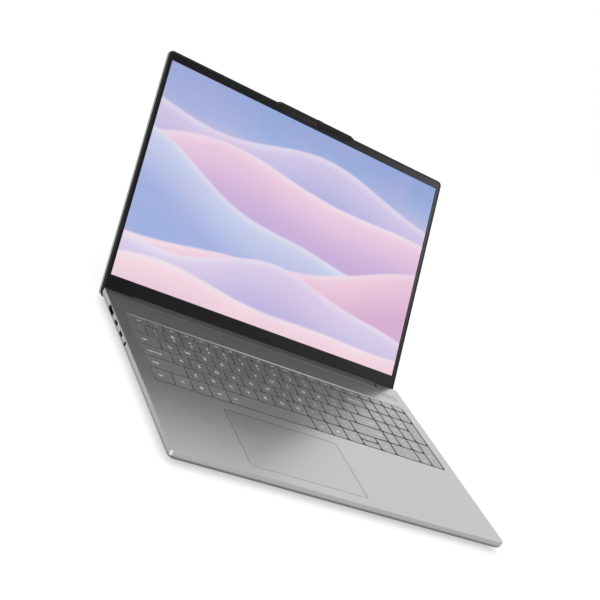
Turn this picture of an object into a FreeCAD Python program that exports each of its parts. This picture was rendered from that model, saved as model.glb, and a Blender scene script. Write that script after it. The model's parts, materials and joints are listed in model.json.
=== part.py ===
import FreeCAD, Part
import math
import os

# Driving dimensions in millimetres. X runs to the right, Y to the rear and Z up.
# Y starts at the front edge of the base and Z at the feet, until the parts are centred at the end.

# Screen, which sets the width and the depth of the lid and the base
screen_width = 344.7
screen_height = 215.4
screen_side_margin = 5.65
screen_top_margin = 9.2
screen_chin = 19.0

# Base shells
floor_clearance = 0.35
base_corner_radius = 5.0
base_wall = 1.2
base_floor = 0.9
side_wall_height = 3.7
side_curve_inset = 10.0
side_curve_steps = 6
deck_edge_round = 0.5
seam_depth = 5.75
seam_gap = 0.15
foot_height = 1.5
seat_gap = 0.1
cut_margin = 1.0
full_round_share = 0.98

# Hinge, with its axis below the deck at the rear of the base
hinge_drop = 4.2
lid_open_angle = 123.3
pod_heel_length = 2.5
pod_heel_start = 1.5
hinge_pod_width = 31.0
cutout_reach = 7.1
cutout_chamfer = 0.8
hinge_pin_radius = 1.5
hinge_pin_reach = 19.0
hinge_running_clearance = 0.04
hinge_pin_pass_clearance = 0.4
hinge_barrel_length = 14.0
hinge_bracket_gap = 0.3
hinge_leaf_width = 22.0
hinge_leaf_depth = 14.0
hinge_leaf_thickness = 1.2

# Lid
lid_gap = 0.6
lid_thickness = 4.6
lid_tail = 3.5
lid_tail_face = 1.0
lid_tail_slope = 4.0
tail_cut_reach = 5.0
lid_wall = 1.0
lid_edge_round = 1.2
lid_corner_radius = 5.0
lid_least_corner = 0.5
lip_half_width = 51.0
lip_height = 2.0
lip_slope = 5.0
rim_proud = 0.3
rim_width = 1.8
rim_inset = 0.2
rim_depth = 0.4
bezel_thickness = 0.6
screen_border = 1.6
screen_lower_border = 9.0
panel_thickness = 2.0
screen_window_gap = 0.3

# Hinge cover bar, carried by the lid
bar_wall = 0.9
bar_end_gap = 0.6
bar_web_above = 5.0
bar_web_below = 3.3

# Lid brackets, display cable and antennas
lid_bracket_width = 14.0
lid_bracket_length = 55.0
lid_bracket_thickness = 0.8
lid_arm_rise = 2.2
lid_knuckle_radius = 2.6
cable_pin_gap = 5.0
cable_width = 22.0
cable_thickness = 0.4
cable_length = 24.0
antenna_gap = 3.0
antenna_length = 60.0
antenna_width = 3.4
antenna_thickness = 0.7

# Camera
camera_above_screen = 5.3
camera_board_length = 80.0
camera_board_width = 5.0
camera_board_thickness = 0.8
camera_lens_radius = 1.6
camera_window_radius = 1.3
shutter_travel = 5.0
shutter_length = 20.0
shutter_width = 4.0
shutter_thickness = 0.3
shutter_gap = 0.1
shutter_knob_x = 5.0
shutter_knob_length = 6.0
shutter_knob_thickness = 0.6
shutter_knob_proud = 0.5

# Keyboard
well_side_margin = 12.8
well_from_hinge = 36.4
well_depth = 1.4
well_corner_radius = 3.0
well_chamfer = 0.7
web_thickness = 0.7
keyboard_left_gap = 2.9
keyboard_right_gap = 1.6
keyboard_rear_gap = 1.65
keyboard_front_gap = 1.6
block_gap = 2.6
key_gap = 2.0
row_pitch = 18.35
function_key_depth = 8.3
bottom_key_depth = 18.2
escape_key_width = 18.2
delete_key_width = 16.7
key_below_deck = 0.1
key_height = 2.9
key_travel = 1.3
key_bow = 0.7
key_rear_radius = 1.1
key_front_radius = 2.0
key_bow_end = 2.4
key_clearance = 0.4
key_floor_gap = 0.2
membrane_thickness = 0.4
plate_thickness = 0.5
plate_margin = 1.0

# Key widths in steps of the key pitch, and counts of keys
main_block_units = 14.2945
number_pad_units = 0.8137
number_row_lead_units = 0.77
top_row_lead_units = 1.275
home_row_lead_units = 1.63
lower_row_lead_units = 2.11
control_key_units = 1.1
arrow_cluster_units = 3.15
right_arrow_units = 0.97
small_function_key_count = 14
number_row_key_count = 12
top_row_key_count = 12
home_row_key_count = 11
lower_row_key_count = 10
left_modifier_key_count = 3
right_modifier_key_count = 2
number_pad_column_count = 4
letter_row_count = 5

# Touchpad and power button
touchpad_centre_x = -39.7
touchpad_width = 121.0
touchpad_front = 11.8
touchpad_keyboard_gap = 13.65
touchpad_corner_radius = 2.0
touchpad_clearance = 0.35
touchpad_below_deck = 0.05
touchpad_thickness = 0.8
touchpad_board_thickness = 0.8
touchpad_board_margin = 3.0
touchpad_frame_drop = 0.8
touchpad_frame_thickness = 0.5
touchpad_frame_margin = 2.6
touchpad_frame_leg = 1.4
button_side_margin = 22.0
button_width = 20.0
button_from_hinge = 25.6
button_depth = 9.0
button_corner_radius = 2.0
button_clearance = 0.2
button_thickness = 1.0
button_travel = 0.3
switch_board_thickness = 0.6
switch_board_overlap = 1.0

# Ports, all on one height
port_depth = 11.2
port_recess = 0.15
port_clearance = 0.15
port_shell = 0.2
port_rear_wall = 1.5
port_foot_length = 6.7
port_foot_share = 0.8
tongue_thickness = 0.9
tongue_recess = 2.2
tongue_share = 0.7
video_port_from_hinge = 35.1
video_port_width = 15.0
video_port_height = 4.5
video_port_radius = 0.6
oval_port_from_hinge = 65.6
oval_port_spacing = 18.6
oval_port_width = 8.6
oval_port_height = 2.7
jack_from_hinge = 90.6
jack_bore_radius = 1.8
jack_wall = 0.7
jack_length = 10.0
jack_body_setback = 1.8
wide_port_from_hinge = 62.6
wide_port_spacing = 20.0
wide_port_width = 12.6
wide_port_height = 4.7
wide_port_radius = 0.4
card_slot_from_hinge = 35.1
card_slot_width = 12.0
card_slot_height = 1.4
card_slot_radius = 0.3

# Boards and cooling
board_thickness = 0.8
board_side_gap = 4.0
board_fan_gap = 8.5
board_front_margin = 6.0
board_rear_gap = 9.3
board_notch_gap = 0.5
io_board_width = 22.0
io_board_front_margin = 8.0
io_board_rear_margin = 9.5
processor_x = -15.0
processor_from_hinge = 53.6
processor_width = 30.0
processor_depth = 24.0
processor_height = 1.1
heat_pipe_width = 8.0
heat_pipe_thickness = 1.2
heat_pipe_bend = 15.0
heat_pipe_overhang = 20.0
heat_pipe_fan_offset = 48.0
fan_side_margin = 85.0
fan_housing_size = 61.0
fan_corner_radius = 6.0
fan_plate = 0.45
fan_housing_wall = 2.0
fan_inlet_radius = 18.0
fan_tip_gap = 1.5
fan_hub_radius = 9.0
fan_axle_radius = 1.0
fan_running_clearance = 0.05
fan_blade_count = 23
fan_blade_thickness = 0.6
fan_blade_root = 1.0
fan_blade_lean = 18.0
fan_rotor_gap = 0.3
fins_width = 58.0
fins_rear_gap = 1.8
fins_fan_gap = 3.0
fins_depth = 11.5
fins_plate = 0.4
fin_pitch = 2.4
fin_slot = 1.9
card_side_margin = 83.0
drive_from_hinge = 82.6
drive_length = 80.0
drive_width = 22.0
drive_thickness = 1.6
radio_from_hinge = 43.6
radio_length = 30.0
radio_width = 22.0
radio_thickness = 1.4
card_socket_length = 6.0
card_socket_height = 0.8

# Battery and speakers
battery_speaker_gap = 5.0
battery_front = 21.0
battery_well_gap = 5.05
battery_cells = 4
battery_cell_gap = 2.0
battery_frame = 1.5
battery_tray = 0.6
speaker_well_gap = 4.05
speaker_width = 17.0
speaker_height = 6.0
speaker_front = 24.0
speaker_side_gap = 6.0

# Underside
foot_width = 8.0
front_foot_length = 40.0
front_foot_side_margin = 48.0
front_foot_y = 22.0
rear_foot_side_margin = 43.0
rear_foot_from_hinge = 24.6
foot_corner_radius = 3.0
screw_radius = 0.9
screw_head_radius = 1.9
screw_head_height = 0.5
screw_length = 4.5
screw_clearance = 0.05
screw_boss_radius = 2.3
front_screw_y = 14.0
front_screw_side_margin = 18.0
front_screw_pad_gap = 15.8
rear_screw_from_hinge = 13.1
rear_screw_pod_gap = 9.0
vent_slot_width = 2.0
vent_slot_pitch = 4.2
vent_slot_length = 24.0
speaker_slot_length = 12.0
speaker_slot_count = 9
exhaust_margin = 0.5

# Places that follow from the sizes above, first across and from front to rear
base_width = screen_width + 2 * screen_side_margin
half_width = base_width / 2
hinge_y = screen_chin + screen_height + screen_top_margin
base_rear = hinge_y + hinge_drop
cutout_half_width = half_width - hinge_pod_width
cutout_y = hinge_y - cutout_reach
cutout_wall_y = cutout_y - base_wall
hinge_pin_inner_x = cutout_half_width - hinge_pin_reach
bar_half_width = cutout_half_width - bar_end_gap
cable_x = cable_pin_gap + cable_width / 2 - hinge_pin_inner_x
antenna_x = -cable_x - cable_width / 2 - antenna_gap - antenna_length / 2
well_half_width = half_width - well_side_margin
well_rear = hinge_y - well_from_hinge
keyboard_left = keyboard_left_gap - well_half_width
keyboard_right = well_half_width - keyboard_right_gap
keyboard_rear = well_rear - keyboard_rear_gap
key_rows_depth = function_key_depth + key_gap + row_pitch * (letter_row_count - 1) + bottom_key_depth
keyboard_front = keyboard_rear - key_rows_depth
well_front = keyboard_front - keyboard_front_gap
keyboard_units = main_block_units + number_pad_units * number_pad_column_count
key_pitch = (keyboard_right - keyboard_left + 2 * key_gap - block_gap) / keyboard_units
main_block_width = main_block_units * key_pitch - key_gap
main_block_right = keyboard_left + main_block_width
number_pad_left = main_block_right + block_gap
number_pad_pitch = number_pad_units * key_pitch
touchpad_rear = well_front - touchpad_keyboard_gap
button_centre_x = half_width - button_side_margin
button_front = hinge_y - button_from_hinge
video_port_y = hinge_y - video_port_from_hinge
oval_port_y = hinge_y - oval_port_from_hinge
jack_y = hinge_y - jack_from_hinge
wide_port_y = hinge_y - wide_port_from_hinge
card_slot_y = hinge_y - card_slot_from_hinge
fins_front = cutout_wall_y - fins_rear_gap - fins_depth
fan_x = half_width - fan_side_margin
fan_y = fins_front - fins_fan_gap - fan_housing_size / 2
fan_chamber_radius = fan_housing_size / 2 - fan_housing_wall
fan_rotor_radius = fan_chamber_radius - fan_tip_gap
board_right_x = fan_x - fan_housing_size / 2 - board_fan_gap
board_front = jack_y - board_front_margin
board_rear = cutout_wall_y - board_rear_gap
io_board_front = wide_port_y - wide_port_spacing / 2 - io_board_front_margin
io_board_rear = card_slot_y + io_board_rear_margin
processor_y = hinge_y - processor_from_hinge
heat_pipe_turn_x = fan_x - heat_pipe_fan_offset
drive_x = card_side_margin - half_width
drive_y = hinge_y - drive_from_hinge
radio_x = drive_x
radio_y = hinge_y - radio_from_hinge
battery_depth = well_front - battery_well_gap - battery_front
speaker_length = well_front - speaker_well_gap - speaker_front
battery_width = 2 * (half_width - speaker_side_gap - speaker_width - battery_speaker_gap)
front_foot_x = half_width - front_foot_side_margin
rear_foot_length = base_width - 2 * rear_foot_side_margin
rear_foot_y = hinge_y - rear_foot_from_hinge
front_screw_outer_x = half_width - front_screw_side_margin
front_screw_inner_x = touchpad_width / 2 - touchpad_centre_x + front_screw_pad_gap
rear_screw_y = hinge_y - rear_screw_from_hinge
rear_screw_outer_x = cutout_half_width - rear_screw_pod_gap
# The inner rear screws stand outside the bend of the heat pipe.
rear_screw_inner_x = heat_pipe_turn_x

# Heights, where the stack from the keys down to the heat pipe sets the depth of the base
key_stack = key_below_deck + key_height + key_travel + key_floor_gap
sheet_stack = membrane_thickness + seat_gap / 2 + plate_thickness + seat_gap
board_stack = board_thickness + seat_gap / 2 + processor_height + seat_gap / 2 + heat_pipe_thickness
base_height = key_stack + sheet_stack + board_stack + floor_clearance + base_floor
base_bottom = foot_height
deck_top = base_bottom + base_height
deck_under = deck_top - base_wall
floor_top = base_bottom + base_floor
hinge_z = deck_top - hinge_drop
key_top = deck_top - key_below_deck
key_bottom = key_top - key_height
membrane_top = deck_top - key_stack
plate_top = membrane_top - membrane_thickness - seat_gap / 2
board_top = membrane_top - sheet_stack
board_bottom = board_top - board_thickness
port_z = board_top + seat_gap / 2 + port_shell + wide_port_height / 2
touchpad_bottom = deck_top - touchpad_below_deck - touchpad_thickness

# Lid, measured up from the hinge axis and back from it
lid_top = hinge_y
screen_top = lid_top - screen_top_margin
screen_bottom = screen_top - screen_height
camera_s = screen_top + camera_above_screen
bezel_face = hinge_drop + lid_gap
lid_back = bezel_face + lid_thickness
bezel_back = bezel_face + bezel_thickness
panel_face = bezel_back + seat_gap / 2
panel_back = panel_face + panel_thickness


def vector(x, y, z):
    return FreeCAD.Vector(x, y, z)


def block(x0, x1, y0, y1, z0, z1):
    return Part.makeBox(x1 - x0, y1 - y0, z1 - z0, vector(x0, y0, z0))


def closed_outline(points):
    # Each point is (x, y, radius); a radius above nought rounds that corner with an arc.
    edges = []
    starts = []
    ends = []
    count = len(points)
    for index in range(count):
        here = vector(points[index][0], points[index][1], 0)
        before = vector(points[index - 1][0], points[index - 1][1], 0)
        after = vector(points[(index + 1) % count][0], points[(index + 1) % count][1], 0)
        radius = points[index][2]
        back = (before - here).normalize()
        ahead = (after - here).normalize()
        half_turn = back.getAngle(ahead) / 2
        reach = radius / math.tan(half_turn)
        start = here + back * reach
        end = here + ahead * reach
        starts.append(start)
        ends.append(end)
        if radius > 0:
            bisector = (back + ahead).normalize()
            middle = here + bisector * (radius / math.sin(half_turn) - radius)
            edges.append(Part.Arc(start, middle, end).toShape())
        else:
            edges.append(None)
    ring = []
    for index in range(count):
        if edges[index] is not None:
            ring.append(edges[index])
        ring.append(Part.LineSegment(ends[index], starts[(index + 1) % count]).toShape())
    return Part.Wire(ring)


def rectangle_points(x0, x1, y0, y1, radius):
    return [(x0, y0, radius), (x1, y0, radius), (x1, y1, radius), (x0, y1, radius)]


def prism(points, z0, z1):
    face = Part.Face(closed_outline(points))
    face.translate(vector(0, 0, z0))
    return face.extrude(vector(0, 0, z1 - z0))


def rounded_block(x0, x1, y0, y1, z0, z1, radius):
    return prism(rectangle_points(x0, x1, y0, y1, radius), z0, z1)


def upright(x, y, z0, z1, radius):
    return Part.makeCylinder(radius, z1 - z0, vector(x, y, z0))


def rod(x0, x1, y, z, radius):
    return Part.makeCylinder(radius, x1 - x0, vector(x0, y, z), vector(1, 0, 0))


def mirrored(shape):
    return shape.mirror(vector(0, 0, 0), vector(1, 0, 0))


def both_sides(shape):
    return Part.makeCompound([shape, mirrored(shape)])


def joined(first, others):
    return first.fuse(others).removeSplitter()


# Base shells

def base_form(wall, floor):
    # The base's outer form, or its hollow when a wall and a floor are taken off.
    curve_top = deck_top - side_wall_height
    curve_height = base_height - side_wall_height - floor
    corner = base_corner_radius - wall
    rear = base_rear - wall

    def section(inset, z):
        side = half_width - wall - inset
        wire = closed_outline(rectangle_points(-side, side, wall + inset, rear, corner))
        wire.translate(vector(0, 0, z))
        return wire

    sections = []
    for step in range(side_curve_steps + 1):
        turn = math.pi / 2 * step / side_curve_steps
        inset = side_curve_inset * (1 - math.cos(turn))
        sections.append(section(inset, curve_top - curve_height * math.sin(turn)))
    lower = Part.makeLoft(sections, True, False)
    upper = Part.Face(section(0, curve_top)).extrude(vector(0, 0, side_wall_height - wall))
    if wall == 0:
        rim = [edge for edge in upper.Edges if edge.BoundBox.ZMin > deck_top - deck_edge_round / 2]
        upper = upper.makeFillet(deck_edge_round, rim)
    return upper.fuse(lower).common(rear_profile(wall, floor))


def rear_profile(wall, floor):
    # Side view of the base: a flat deck that rolls round the hinge axis to a heel at the rear.
    roll = hinge_drop - wall
    low = base_bottom + floor
    heel = hinge_y - pod_heel_start
    corners = [
        vector(-half_width, heel, hinge_z - roll),
        vector(-half_width, heel - pod_heel_length - wall, low),
        vector(-half_width, 0, low),
        vector(-half_width, 0, hinge_z + roll),
        vector(-half_width, hinge_y, hinge_z + roll),
    ]
    under_axis = vector(-half_width, hinge_y, hinge_z - roll)
    behind_axis = vector(-half_width, hinge_y + roll, hinge_z)
    edges = [Part.LineSegment(corners[k], corners[k + 1]).toShape() for k in range(4)]
    edges.append(Part.Arc(corners[4], behind_axis, under_axis).toShape())
    edges.append(Part.LineSegment(under_axis, corners[0]).toShape())
    return Part.Face(Part.Wire(edges)).extrude(vector(base_width, 0, 0))


def base_shell():
    far = base_rear + cut_margin
    high = deck_top + cut_margin
    cutout = block(-cutout_half_width, cutout_half_width, cutout_y, far, 0, high)
    keep = cutout_half_width + base_wall
    guard = block(-keep, keep, cutout_wall_y, far, 0, high)
    hollow = base_form(base_wall, base_floor).cut(guard)
    return base_form(0, 0).cut([hollow, cutout])


def screw_places():
    places = []
    for x in (front_screw_outer_x, front_screw_inner_x):
        places += [(-x, front_screw_y), (x, front_screw_y)]
    for x in (rear_screw_outer_x, rear_screw_inner_x):
        places += [(-x, rear_screw_y), (x, rear_screw_y)]
    return places


def port_cuts():
    # Openings in the side walls, each a little larger than the port behind it.
    cuts = []
    outside = half_width + cut_margin
    inside = half_width - port_recess - port_depth - port_clearance
    for y, width, height, radius in left_ports() + right_ports():
        side = width / 2 + port_shell + port_clearance
        rise = height / 2 + port_shell + port_clearance
        cut = side_prism(y, side, rise, radius + port_shell, inside, outside)
        cuts.append(cut if (y, width, height, radius) in right_ports() else mirrored(cut))
    return cuts


def top_case(shell):
    high = deck_top + cut_margin
    upper = block(-base_width, base_width, -cut_margin, base_rear + cut_margin, deck_top - seam_depth, high)
    case = shell.common(upper)
    rim = base_wall
    side = well_half_width + rim
    well_outer = rounded_block(-side, side, well_front - rim, well_rear + rim,
                               deck_top - well_depth - web_thickness, deck_under, well_corner_radius + rim)
    well = rounded_block(-well_half_width, well_half_width, well_front, well_rear,
                         deck_top - well_depth, high, well_corner_radius)
    bosses = [upright(x, y, floor_top + seat_gap, deck_under, screw_boss_radius) for x, y in screw_places()]
    case = case.fuse([well_outer] + bosses)
    cuts = [well, well_bevel()]
    cuts += [upright(x, y, floor_top, floor_top + screw_length, screw_radius + screw_clearance)
             for x, y in screw_places()]
    for spans in key_groups().values():
        for x0, x1, y0, y1 in spans:
            grow = key_clearance
            cuts.append(key_prism(x0 - grow, x1 + grow, y0 - grow, y1 + grow,
                                  membrane_top, deck_top - well_depth / 2))
    cuts.append(touchpad_prism(touchpad_clearance, membrane_top, high))
    cuts.append(button_prism(button_clearance, membrane_top, high))
    cuts += port_cuts()
    cuts += [rod(-half_width + hinge_leaf_width, half_width - hinge_leaf_width, hinge_y, hinge_z,
                 hinge_pin_radius + hinge_pin_pass_clearance)]
    cuts += exhaust_cuts()
    cuts.append(cutout_bevel())
    return case.cut(cuts)


def well_bevel():
    # Sloped edge along the rear of the keyboard well.
    wires = []
    for grow, level in ((0, deck_top - well_chamfer), (well_chamfer + cut_margin, deck_top + cut_margin)):
        wire = closed_outline(rectangle_points(-well_half_width, well_half_width, well_front, well_rear + grow,
                                               well_corner_radius))
        wire.translate(vector(0, 0, level))
        wires.append(wire)
    return Part.makeLoft(wires, True, True)


def cutout_bevel():
    # Sloped edge along the front of the hinge cut-out.
    low = deck_top - cutout_chamfer
    far = cutout_y - cutout_chamfer
    x = -cutout_half_width
    corners = [vector(x, cutout_y, low), vector(x, cutout_y, deck_top), vector(x, far, deck_top)]
    return Part.Face(Part.makePolygon(corners + corners[:1])).extrude(vector(2 * cutout_half_width, 0, 0))


def exhaust_cuts():
    slots = []
    count = int(fins_width / fin_pitch / 2)
    low = deck_top - seam_depth + seam_gap + exhaust_margin
    for index in range(count):
        x = fan_x + (index - (count - 1) / 2) * fin_pitch * 2
        slots.append(block(x - fin_slot, x + fin_slot, cutout_wall_y - cut_margin, cutout_y + cut_margin,
                           low, deck_under - exhaust_margin))
    return slots


def bottom_cover(shell):
    seam = deck_top - seam_depth - seam_gap
    cover = shell.common(block(-base_width, base_width, -cut_margin, base_rear + cut_margin, 0, seam))
    low = base_bottom - cut_margin
    head_top = base_bottom + screw_head_height
    cuts = []
    for x, y in screw_places():
        cuts.append(upright(x, y, low, floor_top + cut_margin, screw_radius + screw_clearance))
        cuts.append(upright(x, y, low, head_top, screw_head_radius + screw_clearance))
    rows = int(2 * fan_inlet_radius / vent_slot_pitch)
    for index in range(rows):
        x = fan_x + (index - (rows - 1) / 2) * vent_slot_pitch
        cuts.append(vent_slot(x, fan_y, vent_slot_width, vent_slot_length))
    for index in range(speaker_slot_count):
        y = speaker_front + speaker_length / 2 + (index - (speaker_slot_count - 1) / 2) * vent_slot_pitch
        x = half_width - side_curve_inset - speaker_slot_length / 2 - vent_slot_width
        slot = vent_slot(x, y, speaker_slot_length, vent_slot_width)
        cuts += [slot, mirrored(slot)]
    return cover.cut(cuts)


def vent_slot(x, y, width, depth):
    radius = vent_slot_width / 2 * full_round_share
    return rounded_block(x - width / 2, x + width / 2, y - depth / 2, y + depth / 2,
                         base_bottom - cut_margin, floor_top + cut_margin, radius)


def bottom_screws():
    screws = []
    for x, y in screw_places():
        low = base_bottom + screw_clearance
        head = upright(x, y, low, base_bottom + screw_head_height, screw_head_radius)
        shank = upright(x, y, low, floor_top + screw_length - screw_clearance, screw_radius)
        screws.append(joined(head, [shank]))
    return Part.makeCompound(screws)


def rubber_feet():
    top = base_bottom - seat_gap / 2
    half = foot_width / 2
    side = rear_foot_length / 2
    feet = [rounded_block(-side, side, rear_foot_y - half, rear_foot_y + half, 0, top, foot_corner_radius)]
    for x in (-front_foot_x, front_foot_x):
        reach = front_foot_length / 2
        feet.append(rounded_block(x - reach, x + reach, front_foot_y - half, front_foot_y + half,
                                  0, top, foot_corner_radius))
    return Part.makeCompound(feet)


# Keyboard

def key_prism(x0, x1, y0, y1, z0, z1):
    # A key's outline: square at the rear, with a front edge that bows out a little.
    half = (x1 - x0) / 2
    reach = half - key_bow_end
    slope = math.atan2(key_bow, half)
    points = [
        (x0, y0 + key_bow, key_front_radius), (x0 + half, y0, reach / math.tan(slope)),
        (x1, y0 + key_bow, key_front_radius), (x1, y1, key_rear_radius), (x0, y1, key_rear_radius),
    ]
    return prism(points, z0, z1)


def row_spans(left, right, lead, count):
    # One row: a lead key, a run of keys on the pitch, and a last key that fills the row.
    spans = [(left, left + lead * key_pitch - key_gap)]
    x = left + lead * key_pitch
    for _ in range(count):
        spans.append((x, x + key_pitch - key_gap))
        x += key_pitch
    spans.append((x, right))
    return spans


def key_groups():
    left = keyboard_left
    right = main_block_right
    depth = row_pitch - key_gap
    first_rear = keyboard_rear - function_key_depth - key_gap
    rears = [first_rear - row_pitch * row for row in range(letter_row_count)]
    groups = {}

    def add(name, spans, rear, front):
        groups.setdefault(name, [])
        groups[name] += [(x0, x1, front, rear) for x0, x1 in spans]

    pad = []
    for column in range(number_pad_column_count):
        x = number_pad_left + number_pad_pitch * column
        pad.append((x, x + number_pad_pitch - key_gap))

    gaps = (small_function_key_count + 1) * key_gap
    small = (main_block_width - escape_key_width - delete_key_width - gaps) / small_function_key_count
    spans = [(left, left + escape_key_width)]
    for column in range(small_function_key_count):
        x = left + escape_key_width + key_gap + (small + key_gap) * column
        spans.append((x, x + small))
    spans.append((right - delete_key_width, right))
    add("function_keys", spans + pad, keyboard_rear, keyboard_rear - function_key_depth)

    number_row = row_spans(left, right, number_row_lead_units, number_row_key_count)
    add("number_keys", number_row[:-1], rears[0], rears[0] - depth)
    add("backspace_key", number_row[-1:], rears[0], rears[0] - depth)
    top_row = row_spans(left, right, top_row_lead_units, top_row_key_count)
    add("tab_key", top_row[:1], rears[1], rears[1] - depth)
    add("top_letter_keys", top_row[1:], rears[1], rears[1] - depth)
    home_row = row_spans(left, right, home_row_lead_units, home_row_key_count)
    add("caps_lock_key", home_row[:1], rears[2], rears[2] - depth)
    add("home_letter_keys", home_row[1:-1], rears[2], rears[2] - depth)
    add("enter_key", home_row[-1:], rears[2], rears[2] - depth)
    lower_row = row_spans(left, right, lower_row_lead_units, lower_row_key_count)
    add("left_shift_key", lower_row[:1], rears[3], rears[3] - depth)
    add("bottom_letter_keys", lower_row[1:-1], rears[3], rears[3] - depth)
    add("right_shift_key", lower_row[-1:], rears[3], rears[3] - depth)

    front = rears[4] - bottom_key_depth
    modifiers = row_spans(left, right, control_key_units, left_modifier_key_count)[:-1]
    add("left_modifier_keys", modifiers, rears[4], front)
    arrow_left = right + key_gap - key_pitch * arrow_cluster_units
    arrow_middle = arrow_left + key_pitch
    arrow_right = right + key_gap - key_pitch * right_arrow_units
    half = (bottom_key_depth - key_gap) / 2
    add("arrow_keys", [(arrow_left, arrow_middle - key_gap)], rears[4], front)
    add("arrow_keys", [(arrow_middle, arrow_right - key_gap)], rears[4], rears[4] - half)
    add("arrow_keys", [(arrow_middle, arrow_right - key_gap)], front + half, front)
    add("arrow_keys", [(arrow_right, right)], rears[4], front)
    space_end = arrow_left - right_modifier_key_count * key_pitch
    spans = []
    for step in range(right_modifier_key_count):
        x = space_end + key_pitch * step
        spans.append((x, x + key_pitch - key_gap))
    add("right_modifier_keys", spans, rears[4], front)
    add("space_bar", [(modifiers[-1][1] + key_gap, space_end - key_gap)], rears[4], front)

    add("numpad_operator_keys", pad, rears[0], rears[0] - depth)
    for row in (1, 2, 3):
        add("numpad_digit_keys", pad[:3], rears[row], rears[row] - depth)
    add("numpad_plus_key", pad[3:], rears[1], rears[2] - depth)
    add("numpad_enter_key", pad[3:], rears[3], front)
    add("numpad_zero_keys", [(pad[0][0], pad[1][1]), pad[2]], rears[4], front)
    return groups


def key_nodes():
    nodes = {}
    for name, spans in key_groups().items():
        keys = [key_prism(x0, x1, y0, y1, key_bottom, key_top) for x0, x1, y0, y1 in spans]
        nodes[name] = Part.makeCompound(keys)
    return nodes


def keyboard_sheet(top, thickness):
    side = well_half_width - plate_margin
    return rounded_block(-side, side, well_front + plate_margin, well_rear - plate_margin,
                         top - thickness, top, well_corner_radius)


# Touchpad and power button

def touchpad_prism(grow, z0, z1):
    side = touchpad_width / 2 + grow
    return rounded_block(touchpad_centre_x - side, touchpad_centre_x + side, touchpad_front - grow,
                         touchpad_rear + grow, z0, z1, touchpad_corner_radius + max(grow, 0))


def touchpad_parts():
    plate = touchpad_prism(0, touchpad_bottom, touchpad_bottom + touchpad_thickness)
    board_top_z = touchpad_bottom - seat_gap / 2
    board = touchpad_prism(-touchpad_board_margin, board_top_z - touchpad_board_thickness, board_top_z)
    frame_top = board_top_z - touchpad_board_thickness - touchpad_frame_drop
    side = touchpad_width / 2 + touchpad_frame_margin
    x0 = touchpad_centre_x - side
    x1 = touchpad_centre_x + side
    y0 = touchpad_front - touchpad_frame_margin
    y1 = touchpad_rear + touchpad_frame_margin
    floor = block(x0, x1, y0, y1, frame_top - touchpad_frame_thickness, frame_top)
    legs = [block(x, x + touchpad_frame_leg, y0, y1, frame_top, deck_under - seat_gap)
            for x in (x0, x1 - touchpad_frame_leg)]
    return plate, board, joined(floor, legs)


def button_prism(grow, z0, z1):
    side = button_width / 2 + grow
    return rounded_block(button_centre_x - side, button_centre_x + side, button_front - grow,
                         button_front + button_depth + grow, z0, z1, button_corner_radius + grow)


def power_button():
    top = deck_top - touchpad_below_deck
    return button_prism(0, top - button_thickness, top)


def power_switch_board():
    # The board hangs from the deck by two rails, clear of the button's travel.
    rail_top = deck_under - seat_gap
    button_bottom = deck_top - touchpad_below_deck - button_thickness
    top = min(button_bottom - button_travel - key_floor_gap, rail_top - seat_gap)
    side = button_width / 2 + button_clearance + switch_board_overlap
    y0 = button_front
    y1 = button_front + button_depth
    board = block(button_centre_x - side, button_centre_x + side, y0, y1, top - switch_board_thickness, top)
    rails = [block(x, x + switch_board_overlap, y0, y1, top, rail_top)
             for x in (button_centre_x - side, button_centre_x + side - switch_board_overlap)]
    return joined(board, rails)


# Ports

def left_ports():
    ports = [(video_port_y, video_port_width, video_port_height, video_port_radius)]
    for step in (1, -1):
        y = oval_port_y + step * oval_port_spacing / 2
        ports.append((y, oval_port_width, oval_port_height, oval_port_height / 2))
    jack_size = 2 * jack_bore_radius
    ports.append((jack_y, jack_size, jack_size, jack_bore_radius))
    return ports


def right_ports():
    ports = []
    for step in (1, -1):
        y = wide_port_y + step * wide_port_spacing / 2
        ports.append((y, wide_port_width, wide_port_height, wide_port_radius))
    ports.append((card_slot_y, card_slot_width, card_slot_height, card_slot_radius))
    return ports


def side_prism(y, half, rise, radius, x0, x1):
    # A prism along X with a rounded outline in the side view, centred on the ports' height.
    flat = rounded_block(-half, half, -rise, rise, 0, x1 - x0, min(radius, rise * full_round_share))
    flat.rotate(vector(0, 0, 0), vector(0, 1, 0), 90)
    flat.rotate(vector(0, 0, 0), vector(1, 0, 0), 90)
    flat.translate(vector(x0, y, port_z))
    return flat


def port(y, width, height, radius):
    # A right-hand port: a metal sleeve round an opening, with a tongue and a foot on the board.
    mouth = half_width - port_recess
    back = mouth - port_depth
    half = width / 2
    rise = height / 2
    shell = side_prism(y, half + port_shell, rise + port_shell, radius + port_shell, back, mouth)
    hollow = side_prism(y, half, rise, radius, back + port_rear_wall, mouth + cut_margin)
    foot_side = half * port_foot_share
    foot = block(back, back + port_foot_length, y - foot_side, y + foot_side,
                 board_top + seat_gap / 2, port_z - rise)
    sleeve = shell.fuse(foot).cut(hollow)
    if height > 2 * tongue_thickness:
        tongue_side = half * tongue_share
        tongue = block(back + port_rear_wall / 2, mouth - tongue_recess, y - tongue_side, y + tongue_side,
                       port_z - tongue_thickness / 2, port_z + tongue_thickness / 2)
        sleeve = sleeve.fuse(tongue)
    return sleeve.removeSplitter()


def audio_jack():
    mouth = half_width - port_recess
    back = mouth - port_depth
    outer = jack_bore_radius + port_shell
    barrel = rod(back, mouth, jack_y, port_z, outer)
    side = jack_bore_radius + jack_wall
    body = block(back, mouth - jack_body_setback, jack_y - side, jack_y + side, board_top + seat_gap / 2,
                 min(port_z + outer, deck_under - seat_gap))
    bore = rod(mouth - jack_length, mouth + cut_margin, jack_y, port_z, jack_bore_radius)
    return mirrored(barrel.fuse(body).cut(bore).removeSplitter())


# Boards and cooling

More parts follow.
